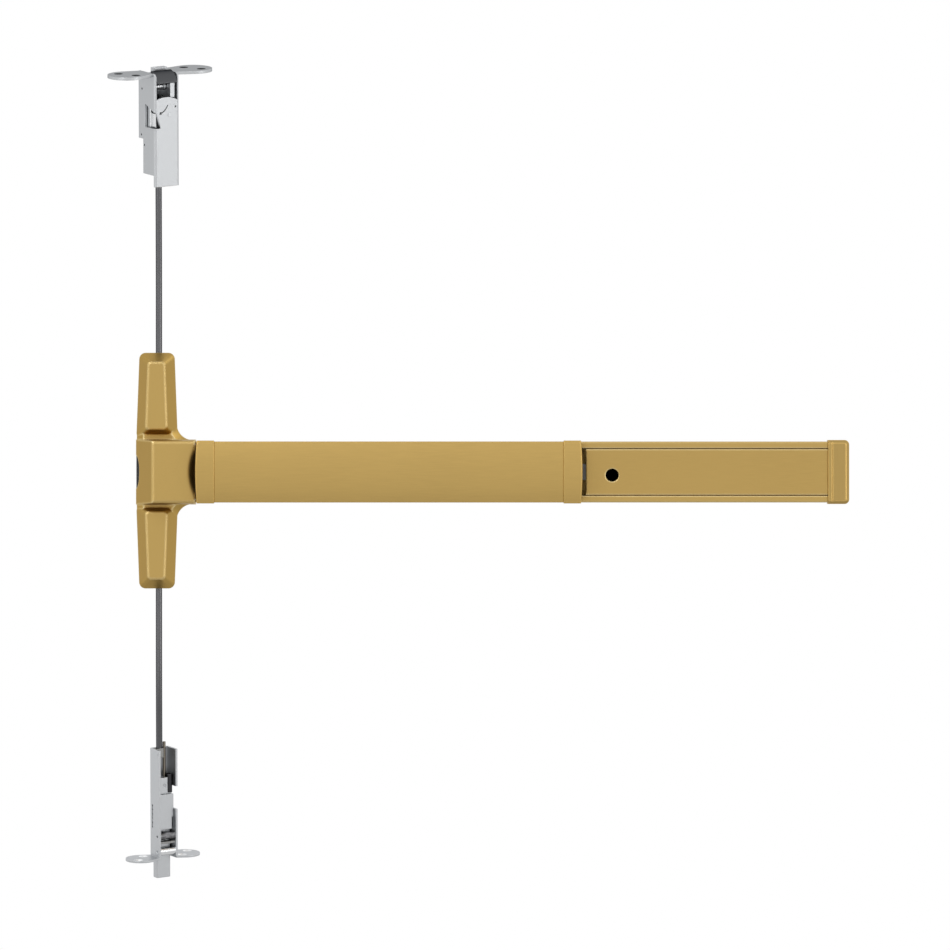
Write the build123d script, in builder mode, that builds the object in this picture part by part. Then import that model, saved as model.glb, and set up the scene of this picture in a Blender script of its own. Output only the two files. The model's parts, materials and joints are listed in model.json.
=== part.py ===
# Concealed vertical cable exit device: push bar, centre case, cables and two door latches.
# X runs along the push bar, Y runs into the door, Z is up. The door's face is y = 0, so the
# trim stands at negative y and the cables and latches lie inside the door at positive y.
# The origin is on the door's face, on the cables' line and the push bar's centre line.

import os
from math import asin, atan2, cos, degrees, hypot, radians, sin, tan

from build123d import *

os.makedirs("parts", exist_ok=True)

# Driving sizes, in millimetres and degrees

# Running and seating clearances
run_gap = 0.05
free_gap = 0.3
slide_gap = 0.5

# How far a cutting tool stands past what it cuts, and how near counts as the same place
open_past = 1.0
touch = 0.01

# Centre case cover
case_left = -19.4
arm_right = 16.9
arm_taper = 3.0
arm_bury = 6.0
case_right = 32.4
case_top = 102.9
case_bottom = -100.5
case_depth = 57.0
body_half = 28.0
body_lean = 14.6
body_top_lean = 1.2
arm_depth = 30.0
arm_lean = 8.0
arm_inner_lean = 8.4
arm_inner_lean_low = 5.6
skirt_depth = 16.0
skirt_draft = 20.0
skirt_reach = 50.0
skirt_step = 0.4
case_wall = 3.0
corner_r = 5.6
arm_front_r = 3.2
throat_r = 14.0
ridge_r = 1.6
body_ridge_r = 2.4
fall_half = 24.0
fall_reach = 7.6
fall_r = 9.0
lining = 12.0
lining_depth = 7.0
notch_half = 14.2
notch_deep = 11.8
plug_gap = 0.3
plug_reach = 8.0
slot_z = 55.0
slot_long = 30.0
slot_wide = 8.0

# Mechanism case, an open channel with front lips
channel_start = case_right + free_gap
channel_end = 576.8
channel_half = 26.2
channel_depth = 50.0
channel_wall = 2.2
channel_floor = 2.5
lip = 2.5
mouth_half = 20.5
channel_edge_r = 1.2

# Push bar
bar_left = case_right + slide_gap
bar_right = 365.4
bar_front = 76.0
bar_stroke = 19.0
bar_half = 26.2
bar_crown = 3.0
bar_lip = 69.6
bar_inner = 71.5
bar_wall = 2.2
skirt_half = 19.6
skirt_back = 36.0
cap_length = 16.2
cap_proud = 0.8
cap_bow = 1.4
cap_wall = 2.0
cap_edge_r = 1.0

# Bell cranks in the mechanism case
crank_xs = (110.0, 300.0)
pivot_depth = 32.0
push_arm = 28.0
link_stroke = 10.0
crank_half = 4.0
hub_r = 7.0
pivot_r = 4.0
ear_half = 13.0
ear_sheet = 2.0
nose_r = 3.0
finger_width = 4.0
roller_r = 2.0
boss_wall = 1.3

# Control link, a steel strap that slides along X
strap = 3.0
strap_depth = 17.3
strap_half = 7.0
strap_left = 6.2
strap_right = 374.5

# Transfer cranks, which turn the strap's travel into the cables' travel
shaft_x = 18.0
shaft_z = 18.0
strap_arm = 13.0
cable_arm = 17.0
shaft_r = 2.0
sleeve_r = 4.5
cable_finger = 4.0

# Cables
cable_y = 20.0
conduit_r = 2.75
wire_r = 1.0
conduit_start = 82.0
bend_z = 172.0

# Chassis and cable bracket behind the door's face
chassis_sheet = 2.5
plate_corner_r = 2.0
bracket_sheet = 2.5
bracket_back = 27.0
bracket_leg = 84.0
bracket_left = -10.0
bracket_right = 10.0
bracket_wing = 25.0
bracket_wing_half = 26.0
carrier_left = -6.0
carrier_right = 4.5
carrier_half_y = 4.5
carrier_in = 14.0
carrier_out = 50.0
rib_half = 2.4
rib_short = 4.0

# Rail cover, dogging and end cap
cover_start = 368.5
cover_sheet = 2.2
dog_x = 391.0
dog_z = -2.7
dog_hole_r = 5.6
dog_shaft_r = 4.0
hook_wide = 3.0
hook_sheet = 3.0
dog_bridge_sheet = 2.0
dog_bridge_half_x = 16.0
dog_bridge_half_z = 19.0
dog_bridge_flange = 5.0
tab_half = 2.5
tab_rise = 6.0
end_cap_length = 18.0
end_cap_half = 27.5
end_cap_depth = 52.5
end_cap_wall = 2.5
end_cap_corner = 4.0
end_cap_bevel = 2.6
end_cap_band = 3.4
end_cap_groove = 0.5

# Latches: turned about the vertical and leaning towards the push side
latch_turn = 32.3
latch_lean = 10.76
latch_sheet = 2.0
latch_stroke = 13.0

# Top latch, in its own frame: x across, y to the back, z up from the cable's end
top_half = 12.5
top_front = -14.6
top_back = 12.0
top_low_back = 4.7
top_step = 40.1
top_wall_foot = 10.0
top_height = 98.7
top_plate = 76.5
top_along = 78.0
window_below = 25.5
window_rise = 19.7
window_front_rise = 13.2
window_right = -6.4
window_lean = 4.1
window_back = 1.8
slit = 1.0
mark_r = 1.0
top_pivot_y = -2.0
top_pivot_below = 12.7
nose_outer_r = 14.3
nose_sheet = 2.3
trigger_left = -3.6
trigger_right = 9.4
trigger_front = 0.6
trigger_back = 6.6
trigger_proud = 3.0
trigger_stroke = 3.0
guard_left = 4.8
guard_right = 9.2
guard_face = -12.0
guard_rise = 14.5
guard_web_drop = 2.6
top_ear_r = 17.0
ear_thick = 2.5
top_fold_r = 2.4
wall_round_r = 4.0
screw_hole_r = 2.3
screw_sink_r = 4.0
top_left_ear = ((-36.3, 6.2), (-27.7, -8.8))
top_right_ear = ((29.5, 6.2), (38.1, -8.8))

# Bottom latch, in its own frame, downwards from the cable's end
low_half = 9.35
low_depth_half = 8.1
low_height = 94.5
low_sheet = 1.8
low_along = 68.0
low_cable = (-2.6, 2.4)
low_left_ear = ((-17.2, 5.6), (-28.9, -5.6))
low_right_ear = ((15.5, -5.6), (27.2, 5.6))
low_ear_r = 13.2
low_fold_r = 2.4
bolt_left = -7.2
bolt_right = 6.4
bolt_front = -1.0
bolt_back = 5.9
bolt_tip = 114.1
bolt_round = 0.8
low_cut_top = 33.0
low_cut_foot = 53.0
low_cut_deep = 12.1
low_cut_r = 3.0
low_slot_y = 3.0
low_slot_top = 50.0
low_vent_below = 4.0
low_roller_r = 3.4
low_roller_above = 4.5
low_bar_above = 11.5
low_cam_r = 2.6
low_cam_above = 18.0
low_cam_lobe = 5.0
low_carriage_above = 23.8
low_block_top = 25.0
low_block_height = 13.6
low_side_step = 1.6
low_lever_r = 2.8
low_rod_top = 5.4

# Worked out from the sizes above
push_angle = asin(bar_stroke / 2 / push_arm)
link_arm = link_stroke / 2 / sin(push_angle)
strap_angle = asin(link_stroke / 2 / strap_arm)
cable_stroke = 2 * cable_arm * sin(strap_angle)
strap_front = strap_depth + strap / 2
strap_back = strap_depth - strap / 2

print("push crank turns", round(2 * degrees(push_angle), 3), "degrees")
print("transfer crank turns", round(2 * degrees(strap_angle), 3), "degrees")
print("cable travel", round(cable_stroke, 3))


def write(piece, name):
    """Labels one finished sub-part and writes its file."""
    piece.label = name
    export_step(piece, "parts/" + name + ".step")


def group(pieces):
    """Joins separate like solids into one sub-part."""
    return Compound(children=list(pieces))


# Centre case cover: a die-cast T with a deep middle and two low arms


def arm_sketch(inset, near, end, corner):
    """An arm's outline between two heights; its sides close in towards the arm's end."""
    root = body_half - arm_bury
    sides = []
    for z in (near, end):
        narrow = inset + arm_taper * (abs(z) - root) / (case_top - root)
        sides.append((case_left + narrow, arm_right - narrow))
    with BuildSketch() as outline:
        with BuildLine():
            Polyline(
                (sides[0][0], near),
                (sides[0][1], near),
                (sides[1][1], end),
                (sides[1][0], end),
                close=True,
            )
        make_face()
        if corner:
            fillet(outline.vertices(), corner)
    return outline.sketch


def case_plan(inset, ends, corner, open_side):
    """The case's T outline set in all round, with its arms up to these heights."""
    left = case_left + inset
    half = body_half - inset
    with BuildSketch() as plan:
        for side, end in zip((1, -1), ends):
            add(arm_sketch(inset, side * (body_half - arm_bury), end, corner))
        with Locations(((left + open_side) / 2, 0)):
            Rectangle(open_side - left, 2 * half)
    return plan.sketch


def arm_block(inset, side, end, inner_lean):
    """One arm, leaning in on all sides from its foot to its flat front."""
    near = side * (body_half + inset)
    end_face = end - side * (inset + arm_lean)
    with BuildPart() as arm:
        with BuildSketch(Plane.XZ):
            add(arm_sketch(inset, near, end - side * inset, corner_r - inset))
        with BuildSketch(Plane.XZ.offset(arm_depth - inset)):
            add(arm_sketch(inset + arm_lean, near + side * inner_lean, end_face, arm_front_r))
        loft()
        if not inset:
            fillet(arm.faces().sort_by(Axis.Y)[0].edges(), ridge_r)
    return arm.part


def case_form(inset):
    """The cover's outside, or its hollow when inset by the wall."""
    open_side = case_right + open_past if inset else case_right
    left = case_left + inset
    half = body_half - inset
    with BuildPart() as form:
        with BuildSketch(Plane.XZ) as foot:
            add(case_plan(inset + skirt_step, (skirt_reach, -skirt_reach), 0, open_side))
            throats = [
                v
                for v in foot.vertices()
                if 0 < v.X < case_right - throat_r / 2
                and abs(abs(v.Y) - half + skirt_step) < touch
            ]
            fillet(throats, throat_r)
        extrude(amount=skirt_depth - inset, taper=skirt_draft)
        add(arm_block(inset, 1, case_top, arm_inner_lean))
        add(arm_block(inset, -1, case_bottom, arm_inner_lean_low))
        with BuildSketch(Plane.XZ):
            with Locations(((left + open_side) / 2, 0)):
                Rectangle(open_side - left, 2 * half)
        with BuildSketch(Plane.XZ.offset(case_depth - inset)):
            with Locations(((left + body_lean + open_side) / 2, 0)):
                Rectangle(open_side - left - body_lean, 2 * (half - body_top_lean))
        loft()
    return form.part


def edge_fall():
    """What is cut off the body's front, so that its right edge falls away at mid-height."""
    top_end = (case_right, fall_half)
    low_end = (case_right, -fall_half)
    middle = (case_right - fall_reach, 0)
    with BuildPart() as tool:
        with BuildSketch(Plane.XZ.offset(case_depth)):
            with BuildLine():
                ThreePointArc(low_end, middle, top_end)
                Polyline(
                    top_end,
                    (case_right + open_past, fall_half),
                    (case_right + open_past, -fall_half),
                    low_end,
                )
            make_face()
        extrude(amount=-fall_r)
        with BuildLine(Plane.XZ.offset(case_depth - fall_r)) as spine:
            ThreePointArc(low_end, middle, top_end)
        with BuildSketch(Plane(origin=spine.line @ 0, z_dir=spine.line % 0)):
            Circle(fall_r)
        sweep(path=spine.line, mode=Mode.SUBTRACT)
    return tool.part


with BuildPart() as center_case_cover:
    add(case_form(0))
    body_front = center_case_cover.faces().sort_by(Axis.Y)[0]
    fillet(body_front.edges().filter_by(lambda e: e.center().X < case_right - touch), body_ridge_r)
    add(case_form(case_wall), mode=Mode.SUBTRACT)
    with BuildSketch(Plane.XZ.offset(case_depth - case_wall)):
        with Locations((case_right - lining / 2, 0)):
            Rectangle(lining, 2 * (body_half - case_wall))
    extrude(amount=-lining_depth)
    add(edge_fall(), mode=Mode.SUBTRACT)
    with BuildSketch(Plane.YZ.offset(case_left - open_past)):
        Ellipse(notch_deep, notch_half)
    extrude(amount=2 * (case_wall + open_past), mode=Mode.SUBTRACT)
write(center_case_cover.part, "center_case_cover")

# Centre case chassis: the steel plate on the door's face that everything else is fixed to

plate_gap = case_wall + slide_gap + chassis_sheet * tan(radians(skirt_draft))
hole_dx = 6.9
hole_dz = 92.5
shaft_spots = ((shaft_x, shaft_z), (shaft_x, -shaft_z))
mount_spots = [(sx * hole_dx, sz * hole_dz) for sx in (-1, 1) for sz in (-1, 1)]
mount_hole_r = 2.3
sleeve_hole_r = sleeve_r + run_gap
with BuildPart() as center_case_chassis:
    with BuildSketch(Plane.XZ):
        plate_ends = (case_top - plate_gap, case_bottom + plate_gap)
        add(case_plan(plate_gap, plate_ends, arm_front_r, case_right))
    extrude(amount=chassis_sheet)
    with Locations(Plane.XZ.offset(chassis_sheet)):
        with Locations(*shaft_spots):
            Hole(sleeve_hole_r)
        with Locations(*mount_spots):
            Hole(mount_hole_r)
    with BuildSketch(Plane.XZ):
        with Locations(*[((carrier_left + carrier_right) / 2, z) for z in (slot_z, -slot_z)]):
            SlotOverall(slot_long, slot_wide, rotation=90)
    extrude(amount=chassis_sheet, mode=Mode.SUBTRACT)
write(center_case_chassis.part, "center_case_chassis")

# Case plug: the black insert that shows in the cover's left notch

with BuildPart() as case_plug:
    add(case_form(plug_gap))
    with BuildSketch(Plane.YZ.offset(case_left - open_past)):
        Ellipse(notch_deep - plug_gap, notch_half - plug_gap)
    extrude(amount=plug_reach + open_past, mode=Mode.INTERSECT)
    with BuildSketch(Plane.XZ):
        with Locations((case_left + plate_gap + plug_reach - plug_gap, 0)):
            Rectangle(2 * plug_reach, 2 * notch_half)
    extrude(amount=chassis_sheet, mode=Mode.SUBTRACT)
write(case_plug.part, "case_plug")

# Coupler plate and its screws: it joins the chassis to the mechanism case's floor

coupler_left = 5.0
coupler_right = 62.0
coupler_sheet = 2.5
coupler_half = 14.0
screw_r = 2.0
head_r = 3.6
head_height = 2.2
screw_socket = 1.4
coupler_screws = ((28.0, 10.0), (28.0, -10.0), (50.0, 10.0), (50.0, -10.0))
with BuildPart() as coupler_plate:
    with BuildSketch(Plane.XZ.offset(chassis_sheet)):
        with Locations(((coupler_left + coupler_right) / 2, 0)):
            RectangleRounded(coupler_right - coupler_left, 2 * coupler_half, plate_corner_r)
        with Locations(*shaft_spots):
            Circle(sleeve_r + 3 * slide_gap, mode=Mode.SUBTRACT)
        with Locations(*coupler_screws):
            Circle(screw_r, mode=Mode.SUBTRACT)
    extrude(amount=coupler_sheet)
write(coupler_plate.part, "coupler_plate")


def pan_screw(x, z, seat, reach):
    """A pan-head screw along Y, its head on the plane at this distance from the door."""
    with BuildPart() as screw:
        with BuildSketch(Plane.XZ.offset(seat)):
            with Locations((x, z)):
                Circle(head_r)
        extrude(amount=head_height)
        fillet(screw.edges().sort_by(Axis.Y)[0], head_height / 2)
        with BuildSketch(Plane.XZ.offset(seat)):
            with Locations((x, z)):
                Circle(screw_r)
        extrude(amount=-reach)
        with BuildSketch(Plane.XZ.offset(seat + head_height)):
            with Locations((x, z)):
                RegularPolygon(screw_socket, 6)
        extrude(amount=-screw_socket, mode=Mode.SUBTRACT)
    return screw.part


coupler_screw_set = group(
    pan_screw(x, z, chassis_sheet + coupler_sheet, coupler_sheet)
    for x, z in coupler_screws
)
write(coupler_screw_set, "coupler_screws")

# Mechanism case: the aluminium channel along the door, with lips that hold the rail cover

with BuildPart() as mechanism_case:
    with BuildSketch(Plane.YZ.offset(channel_start)) as section:
        with Locations((-channel_depth / 2, 0)):
            Rectangle(channel_depth, 2 * channel_half)
        with Locations((-(channel_floor + channel_depth - lip) / 2, 0)):
            Rectangle(
                channel_depth - channel_floor - lip,
                2 * (channel_half - channel_wall),
                mode=Mode.SUBTRACT,
            )
        with Locations((-(channel_depth - lip / 2), 0)):
            Rectangle(lip, 2 * mouth_half, mode=Mode.SUBTRACT)
    extrude(amount=channel_end - channel_start)
    front_edges = [
        e
        for e in mechanism_case.edges().filter_by(Axis.X)
        if abs(e.center().Y + channel_depth) < touch
        and abs(abs(e.center().Z) - channel_half) < touch
    ]
    fillet(front_edges, channel_edge_r)
write(mechanism_case.part, "mechanism_case")

# Push bar: an extrusion with a crowned front, back lips and two skirts that slide in the channel


def crowned_section(half, front, crown, back):
    """A section across the bar, between front and back distances, with an arched front."""
    with BuildSketch() as section:
        with BuildLine():
            Polyline(
                (-(front - crown), half),
                (-back, half),
                (-back, -half),
                (-(front - crown), -half),
            )
            ThreePointArc(
                (-(front - crown), -half), (-front, 0), (-(front - crown), half)
            )
        make_face()
    return section.sketch


bar_start = bar_left + cap_length
bar_end = bar_right - cap_length
with BuildPart() as push_bar:
    with BuildSketch(Plane.YZ.offset(bar_start)) as bar_section:
        add(crowned_section(bar_half, bar_front, bar_crown, bar_lip))
        lip_span = bar_half - bar_wall - skirt_half
        for side in (1, -1):
            with Locations(
                (-(bar_inner + bar_lip) / 2, side * (skirt_half + lip_span / 2))
            ):
                Rectangle(bar_inner - bar_lip, lip_span, mode=Mode.SUBTRACT)
        with Locations((-(bar_inner + bar_lip) / 2, 0)):
            Rectangle(
                bar_inner - bar_lip, 2 * (skirt_half - bar_wall), mode=Mode.SUBTRACT
            )
        for side in (1, -1):
            with Locations(
                (-(bar_inner + skirt_back) / 2, side * (skirt_half - bar_wall / 2))
            ):
                Rectangle(bar_inner - skirt_back, bar_wall)
    extrude(amount=bar_end - bar_start)
write(push_bar.part, "push_bar")


def bar_cap(outer_x, inner_x):
    """A moulded end cap with a bowed end, butting on the extrusion with a short spigot."""
    out = 1 if outer_x > inner_x else -1
    cap_half = bar_half + cap_proud
    cap_front = bar_front + cap_proud
    with BuildPart() as cap:
        with BuildSketch(Plane.YZ.offset(inner_x)):
            add(crowned_section(cap_half, cap_front, bar_crown, bar_lip))
        extrude(amount=out * abs(outer_x - inner_x))
        with BuildSketch(Plane.YZ.offset(inner_x)):
            with Locations((-(bar_inner + bar_lip) / 2, 0)):
                Rectangle(
                    bar_inner - bar_lip, 2 * (cap_half - cap_wall)
                )
        extrude(amount=out * (abs(outer_x - inner_x) - cap_wall - cap_bow), mode=Mode.SUBTRACT)
        with BuildSketch(Plane.YZ.offset(inner_x)):
            for side in (1, -1):
                with Locations(
                    (
                        -(bar_inner + skirt_back) / 2,
                        side * (skirt_half - bar_wall / 2),
                    )
                ):
                    Rectangle(bar_inner - skirt_back, bar_wall)
        extrude(amount=out * (abs(outer_x - inner_x) - cap_wall - cap_bow))
        with BuildSketch(Plane.XZ.offset(bar_lip)) as bow:
            with BuildLine():
                edge = outer_x - out * cap_bow
                reach = cap_half + open_past
                past = outer_x + out * open_past
                Polyline((edge, reach), (past, reach), (past, -reach), (edge, -reach))
                ThreePointArc((edge, -reach), (outer_x, 0), (edge, reach))
            make_face()
        extrude(amount=cap_front, mode=Mode.SUBTRACT)
        fillet(
            cap.edges().filter_by(lambda e: abs(e.center().X - inner_x) > cap_length * 2 / 3)
            .filter_by(lambda e: e.center().Y < -bar_lip - cap_wall)
            .group_by(Axis.Y)[0],
            cap_edge_r,
        )
    return cap.part


write(bar_cap(bar_left, bar_start), "push_bar_end_cap_left")
write(bar_cap(bar_right, bar_end), "push_bar_end_cap_right")

# Bar brackets: each holds a crank's roller in two slots

rest_reach = push_arm * cos(push_angle)
roller_depth = pivot_depth + bar_stroke / 2
slot_length = push_arm - rest_reach + 2 * roller_r + 2 * free_gap
flange_in = strap_half + 2 * free_gap
flange_sheet = 2.0
flange_out = flange_in + flange_sheet
bracket_rim = 2.1
bracket_back_edge = roller_depth - roller_r - bracket_rim
bracket_half_x = 10.0


def bar_bracket(pivot_x):
    """A folded U with slots for the roller, fixed under the bar's front."""
    mid = pivot_x - (push_arm + rest_reach) / 2
    with BuildPart() as bracket:
        with BuildSketch(Plane.YZ.offset(mid - bracket_half_x)):
            with Locations((-(bar_inner + bracket_back_edge) / 2, 0)):
                Rectangle(bar_inner - bracket_back_edge, 2 * flange_out)
            with Locations(
                (-(bar_inner - flange_sheet + bracket_back_edge) / 2, 0)
            ):
                Rectangle(
                    bar_inner - flange_sheet - bracket_back_edge,
                    2 * flange_in,
                    mode=Mode.SUBTRACT,
                )
        extrude(amount=2 * bracket_half_x)
        with BuildSketch(Plane.XY.offset(-flange_out)):
            with Locations((mid, -roller_depth)):
                SlotOverall(slot_length, 2 * (roller_r + free_gap))
        extrude(amount=2 * flange_out, mode=Mode.SUBTRACT)
    return bracket.part


write(bar_bracket(crank_xs[0]), "bar_bracket_left")
write(bar_bracket(crank_xs[1]), "bar_bracket_right")

# Bell cranks, each a casting with a push arm and a finger that works the strap


def bell_crank(pivot_x):
    """A crank at rest: the bar out, the finger at the left end of its travel."""
    pivot = (pivot_x, -pivot_depth)
    push_end = (
        pivot_x - push_arm * cos(push_angle),
        -pivot_depth - push_arm * sin(push_angle),
    )
    nose = (
        pivot_x - link_arm * sin(push_angle),
        -pivot_depth + link_arm * cos(push_angle),
    )
    with BuildPart() as crank:
        with BuildSketch(Plane.XY.offset(-crank_half)) as arms:
            with BuildSketch(mode=Mode.PRIVATE) as ends:
                with Locations(pivot):
                    Circle(hub_r)
                with Locations(push_end):
                    Circle(roller_r + boss_wall)
            make_hull(ends.edges())
            with Locations(nose):
                Circle(nose_r)
            with Locations(((pivot[0] + nose[0]) / 2, (pivot[1] + nose[1]) / 2)):
                Rectangle(
                    link_arm, finger_width, rotation=90 + degrees(push_angle)
                )
            with Locations(push_end):
                Circle(roller_r, mode=Mode.SUBTRACT)
        extrude(amount=2 * crank_half)
        with BuildSketch(Plane.XY.offset(-(ear_half - ear_sheet - free_gap))):
            with Locations(pivot):
                Circle(hub_r)
        extrude(amount=2 * (ear_half - ear_sheet - free_gap))
        with BuildSketch(Plane.XY.offset(-ear_half)):
            with Locations(pivot):
                Circle(pivot_r + run_gap)
        extrude(amount=2 * ear_half, mode=Mode.SUBTRACT)
    return crank.part


def roller(pivot_x):
    """The pin through a crank's push arm, its ends in the bar bracket's slots."""
    with BuildPart() as pin:
        with BuildSketch(Plane.XY.offset(-flange_out)):
            with Locations(
                (
                    pivot_x - push_arm * cos(push_angle),
                    -pivot_depth - push_arm * sin(push_angle),
                )
            ):
                Circle(roller_r)
        extrude(amount=2 * flange_out)
    return pin.part


for side_name, pivot_x in zip(("left", "right"), crank_xs):
    write(bell_crank(pivot_x), "bell_crank_" + side_name)
    write(roller(pivot_x), "crank_roller_" + side_name)

# Crank brackets on the channel's floor, and the pivot pins in their ears

foot_half_x = 22.0
foot_half_z = 17.0
ear_foot = 26.0


def crank_bracket(pivot_x):
    """A folded bracket: a foot on the channel's floor and two ears for the pivot pin."""
    with BuildPart() as bracket:
        with BuildSketch(Plane.XZ.offset(channel_floor)):
            with Locations((pivot_x, 0)):
                RectangleRounded(2 * foot_half_x, 2 * foot_half_z, plate_corner_r)
        extrude(amount=ear_sheet)
        for side in (1, -1):
            start = ear_half - ear_sheet if side > 0 else -ear_half
            with BuildSketch(Plane.XY.offset(start)) as ear:
                with BuildSketch(mode=Mode.PRIVATE) as ends:
                    with Locations((pivot_x, -pivot_depth)):
                        Circle(hub_r)
                    with Locations((pivot_x, -channel_floor - ear_sheet / 2)):
                        Rectangle(ear_foot, ear_sheet)
                make_hull(ends.edges())
                with Locations((pivot_x, -pivot_depth)):
                    Circle(pivot_r, mode=Mode.SUBTRACT)
            extrude(amount=ear_sheet)
    return bracket.part


pin_head = 1.2


def pivot_pin(pivot_x):
    """A headed pin through both ears, along Z."""
    with BuildPart() as pin:
        with BuildSketch(Plane.XY.offset(-ear_half - pin_head)):
            with Locations((pivot_x, -pivot_depth)):
                Circle(pivot_r)
        extrude(amount=2 * (ear_half + pin_head))
        with BuildSketch(Plane.XY.offset(ear_half)):
            with Locations((pivot_x, -pivot_depth)):
                Circle(pivot_r + pin_head)
        extrude(amount=pin_head)
    return pin.part


write(crank_bracket(crank_xs[0]), "crank_bracket_left")
write(crank_bracket(crank_xs[1]), "crank_bracket_right")
write(group(pivot_pin(x) for x in crank_xs), "crank_pivot_pins")

# Control link: the strap, with a window for each finger and a tab for the dogging hook

window_half_x = nose_r + free_gap
window_half_z = crank_half + slide_gap
notch_floor = shaft_z - strap_arm - nose_r - slide_gap
with BuildPart() as control_link:
    with BuildSketch(Plane.XZ.offset(strap_back)):
        with Locations(((strap_left + strap_right) / 2, 0)):
            Rectangle(strap_right - strap_left, 2 * strap_half)
        for pivot_x in crank_xs:
            with Locations((pivot_x - link_arm * sin(push_angle), 0)):
                Rectangle(2 * window_half_x, 2 * window_half_z, mode=Mode.SUBTRACT)
        for side in (1, -1):
            with Locations(
                (
                    shaft_x - strap_arm * sin(strap_angle),
                    side * (strap_half + open_past + notch_floor) / 2,
                )
            ):
                Rectangle(
                    2 * window_half_x,
                    strap_half + open_past - notch_floor,
                    mode=Mode.SUBTRACT,
                )
    extrude(amount=strap)
    with BuildSketch(Plane.XZ.offset(strap_back)):
        with Locations((strap_right - strap / 2, dog_z)):
            Rectangle(strap, 2 * tab_half)
    extrude(amount=strap + tab_rise)
write(control_link.part, "control_link")

# Transfer cranks: a sleeve through the chassis with a lever at each end

cable_lever_half = cable_finger / 2
sleeve_front = strap_front
sleeve_past = 1.0
sleeve_rear = cable_y + cable_lever_half + sleeve_past


def transfer_crank(side):
    """A crank at rest; side is 1 above the bar's centre line and -1 below."""
    centre = (shaft_x, side * shaft_z)
    strap_nose = (
        shaft_x - strap_arm * sin(strap_angle),
        side * (shaft_z - strap_arm * cos(strap_angle)),
    )
    cable_nose = (
        shaft_x - cable_arm * cos(strap_angle),
        side * (shaft_z + cable_arm * sin(strap_angle)),
    )
    with BuildPart() as crank:
        with BuildSketch(Plane.XZ.offset(-sleeve_rear)):
            with Locations(centre):
                Circle(sleeve_r)
        extrude(amount=sleeve_rear + sleeve_front)
        for nose, arm, start, thick in (
            (strap_nose, strap_arm, strap_back, strap),
            (cable_nose, cable_arm, -(cable_y + cable_lever_half), cable_finger),
        ):
            aim = degrees(atan2(nose[1] - centre[1], nose[0] - centre[0]))
            with BuildSketch(Plane.XZ.offset(start)):
                with Locations(nose):
                    Circle(nose_r)
                with Locations(
                    ((centre[0] + nose[0]) / 2, (centre[1] + nose[1]) / 2)
                ):
                    Rectangle(arm, finger_width, rotation=aim)
            extrude(amount=thick)
        with BuildSketch(Plane.XZ.offset(-sleeve_rear)):
            with Locations(centre):
                Circle(shaft_r + run_gap)
        extrude(amount=sleeve_rear + sleeve_front, mode=Mode.SUBTRACT)
    return crank.part


write(transfer_crank(1), "transfer_crank_upper")
write(transfer_crank(-1), "transfer_crank_lower")

# Cable bracket: a folded strap inside the door that carries the shafts and the conduit ends

ferrule_r = 4.0
ferrule_in = 6.0
ferrule_out = 9.0
collar = 1.6
bracket_mid = (bracket_left + bracket_right) / 2
bracket_width = bracket_right - bracket_left
rib_slot = (2.0, 56.0)
with BuildPart() as cable_bracket:
    with BuildSketch(Plane.XZ.offset(-bracket_back - bracket_sheet)):
        with Locations((bracket_mid, 0)):
            Rectangle(bracket_width, 2 * (bracket_leg + bracket_sheet))
        with Locations(((bracket_left + bracket_wing) / 2, 0)):
            RectangleRounded(
                bracket_wing - bracket_left, 2 * bracket_wing_half, plate_corner_r
            )
        with Locations(*shaft_spots):
            Circle(shaft_r, mode=Mode.SUBTRACT)
        for side in (1, -1):
            with Locations((0, side * sum(rib_slot) / 2)):
                Rectangle(
                    2 * (rib_half + free_gap),
                    rib_slot[1] - rib_slot[0],
                    mode=Mode.SUBTRACT,
                )
    extrude(amount=bracket_sheet)
    for side in (1, -1):
        level = bracket_leg if side > 0 else -bracket_leg - bracket_sheet
        with BuildSketch(Plane.XY.offset(level)):
            with Locations((bracket_mid, bracket_back / 2)):
                Rectangle(bracket_width, bracket_back)
            with Locations((0, cable_y)):
                Circle(ferrule_r, mode=Mode.SUBTRACT)
        extrude(amount=bracket_sheet)
write(cable_bracket.part, "cable_bracket")


shaft_play = 0.4
shaft_head = 1.4
shoulder_r = sleeve_r - slide_gap
shoulder_gap = 0.2


def transfer_shaft(side):
    """The fixed shaft of one transfer crank, with a head in front of the sleeve."""
    with BuildPart() as shaft:
        with BuildSketch(Plane.XZ.offset(-bracket_back - bracket_sheet)):
            with Locations((shaft_x, side * shaft_z)):
                Circle(shaft_r)
        extrude(amount=bracket_back + bracket_sheet + sleeve_front + shaft_play)
        with BuildSketch(Plane.XZ.offset(sleeve_front + shaft_play)):
            with Locations((shaft_x, side * shaft_z)):
                Circle(shoulder_r)
        extrude(amount=shaft_head)
        with BuildSketch(Plane.XZ.offset(-bracket_back)):
            with Locations((shaft_x, side * shaft_z)):
                Circle(shoulder_r)
        extrude(amount=bracket_back - sleeve_rear - shoulder_gap)
    return shaft.part


write(group(transfer_shaft(side) for side in (1, -1)), "transfer_shafts")

# Cable carriers: blocks that the transfer cranks pull towards the centre

carrier_nose_z = shaft_z + cable_arm * sin(strap_angle)
carrier_notch_x = shaft_x - cable_arm - nose_r - slide_gap
wire_grip = 12.0
carrier_corner_r = 1.5


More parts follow.
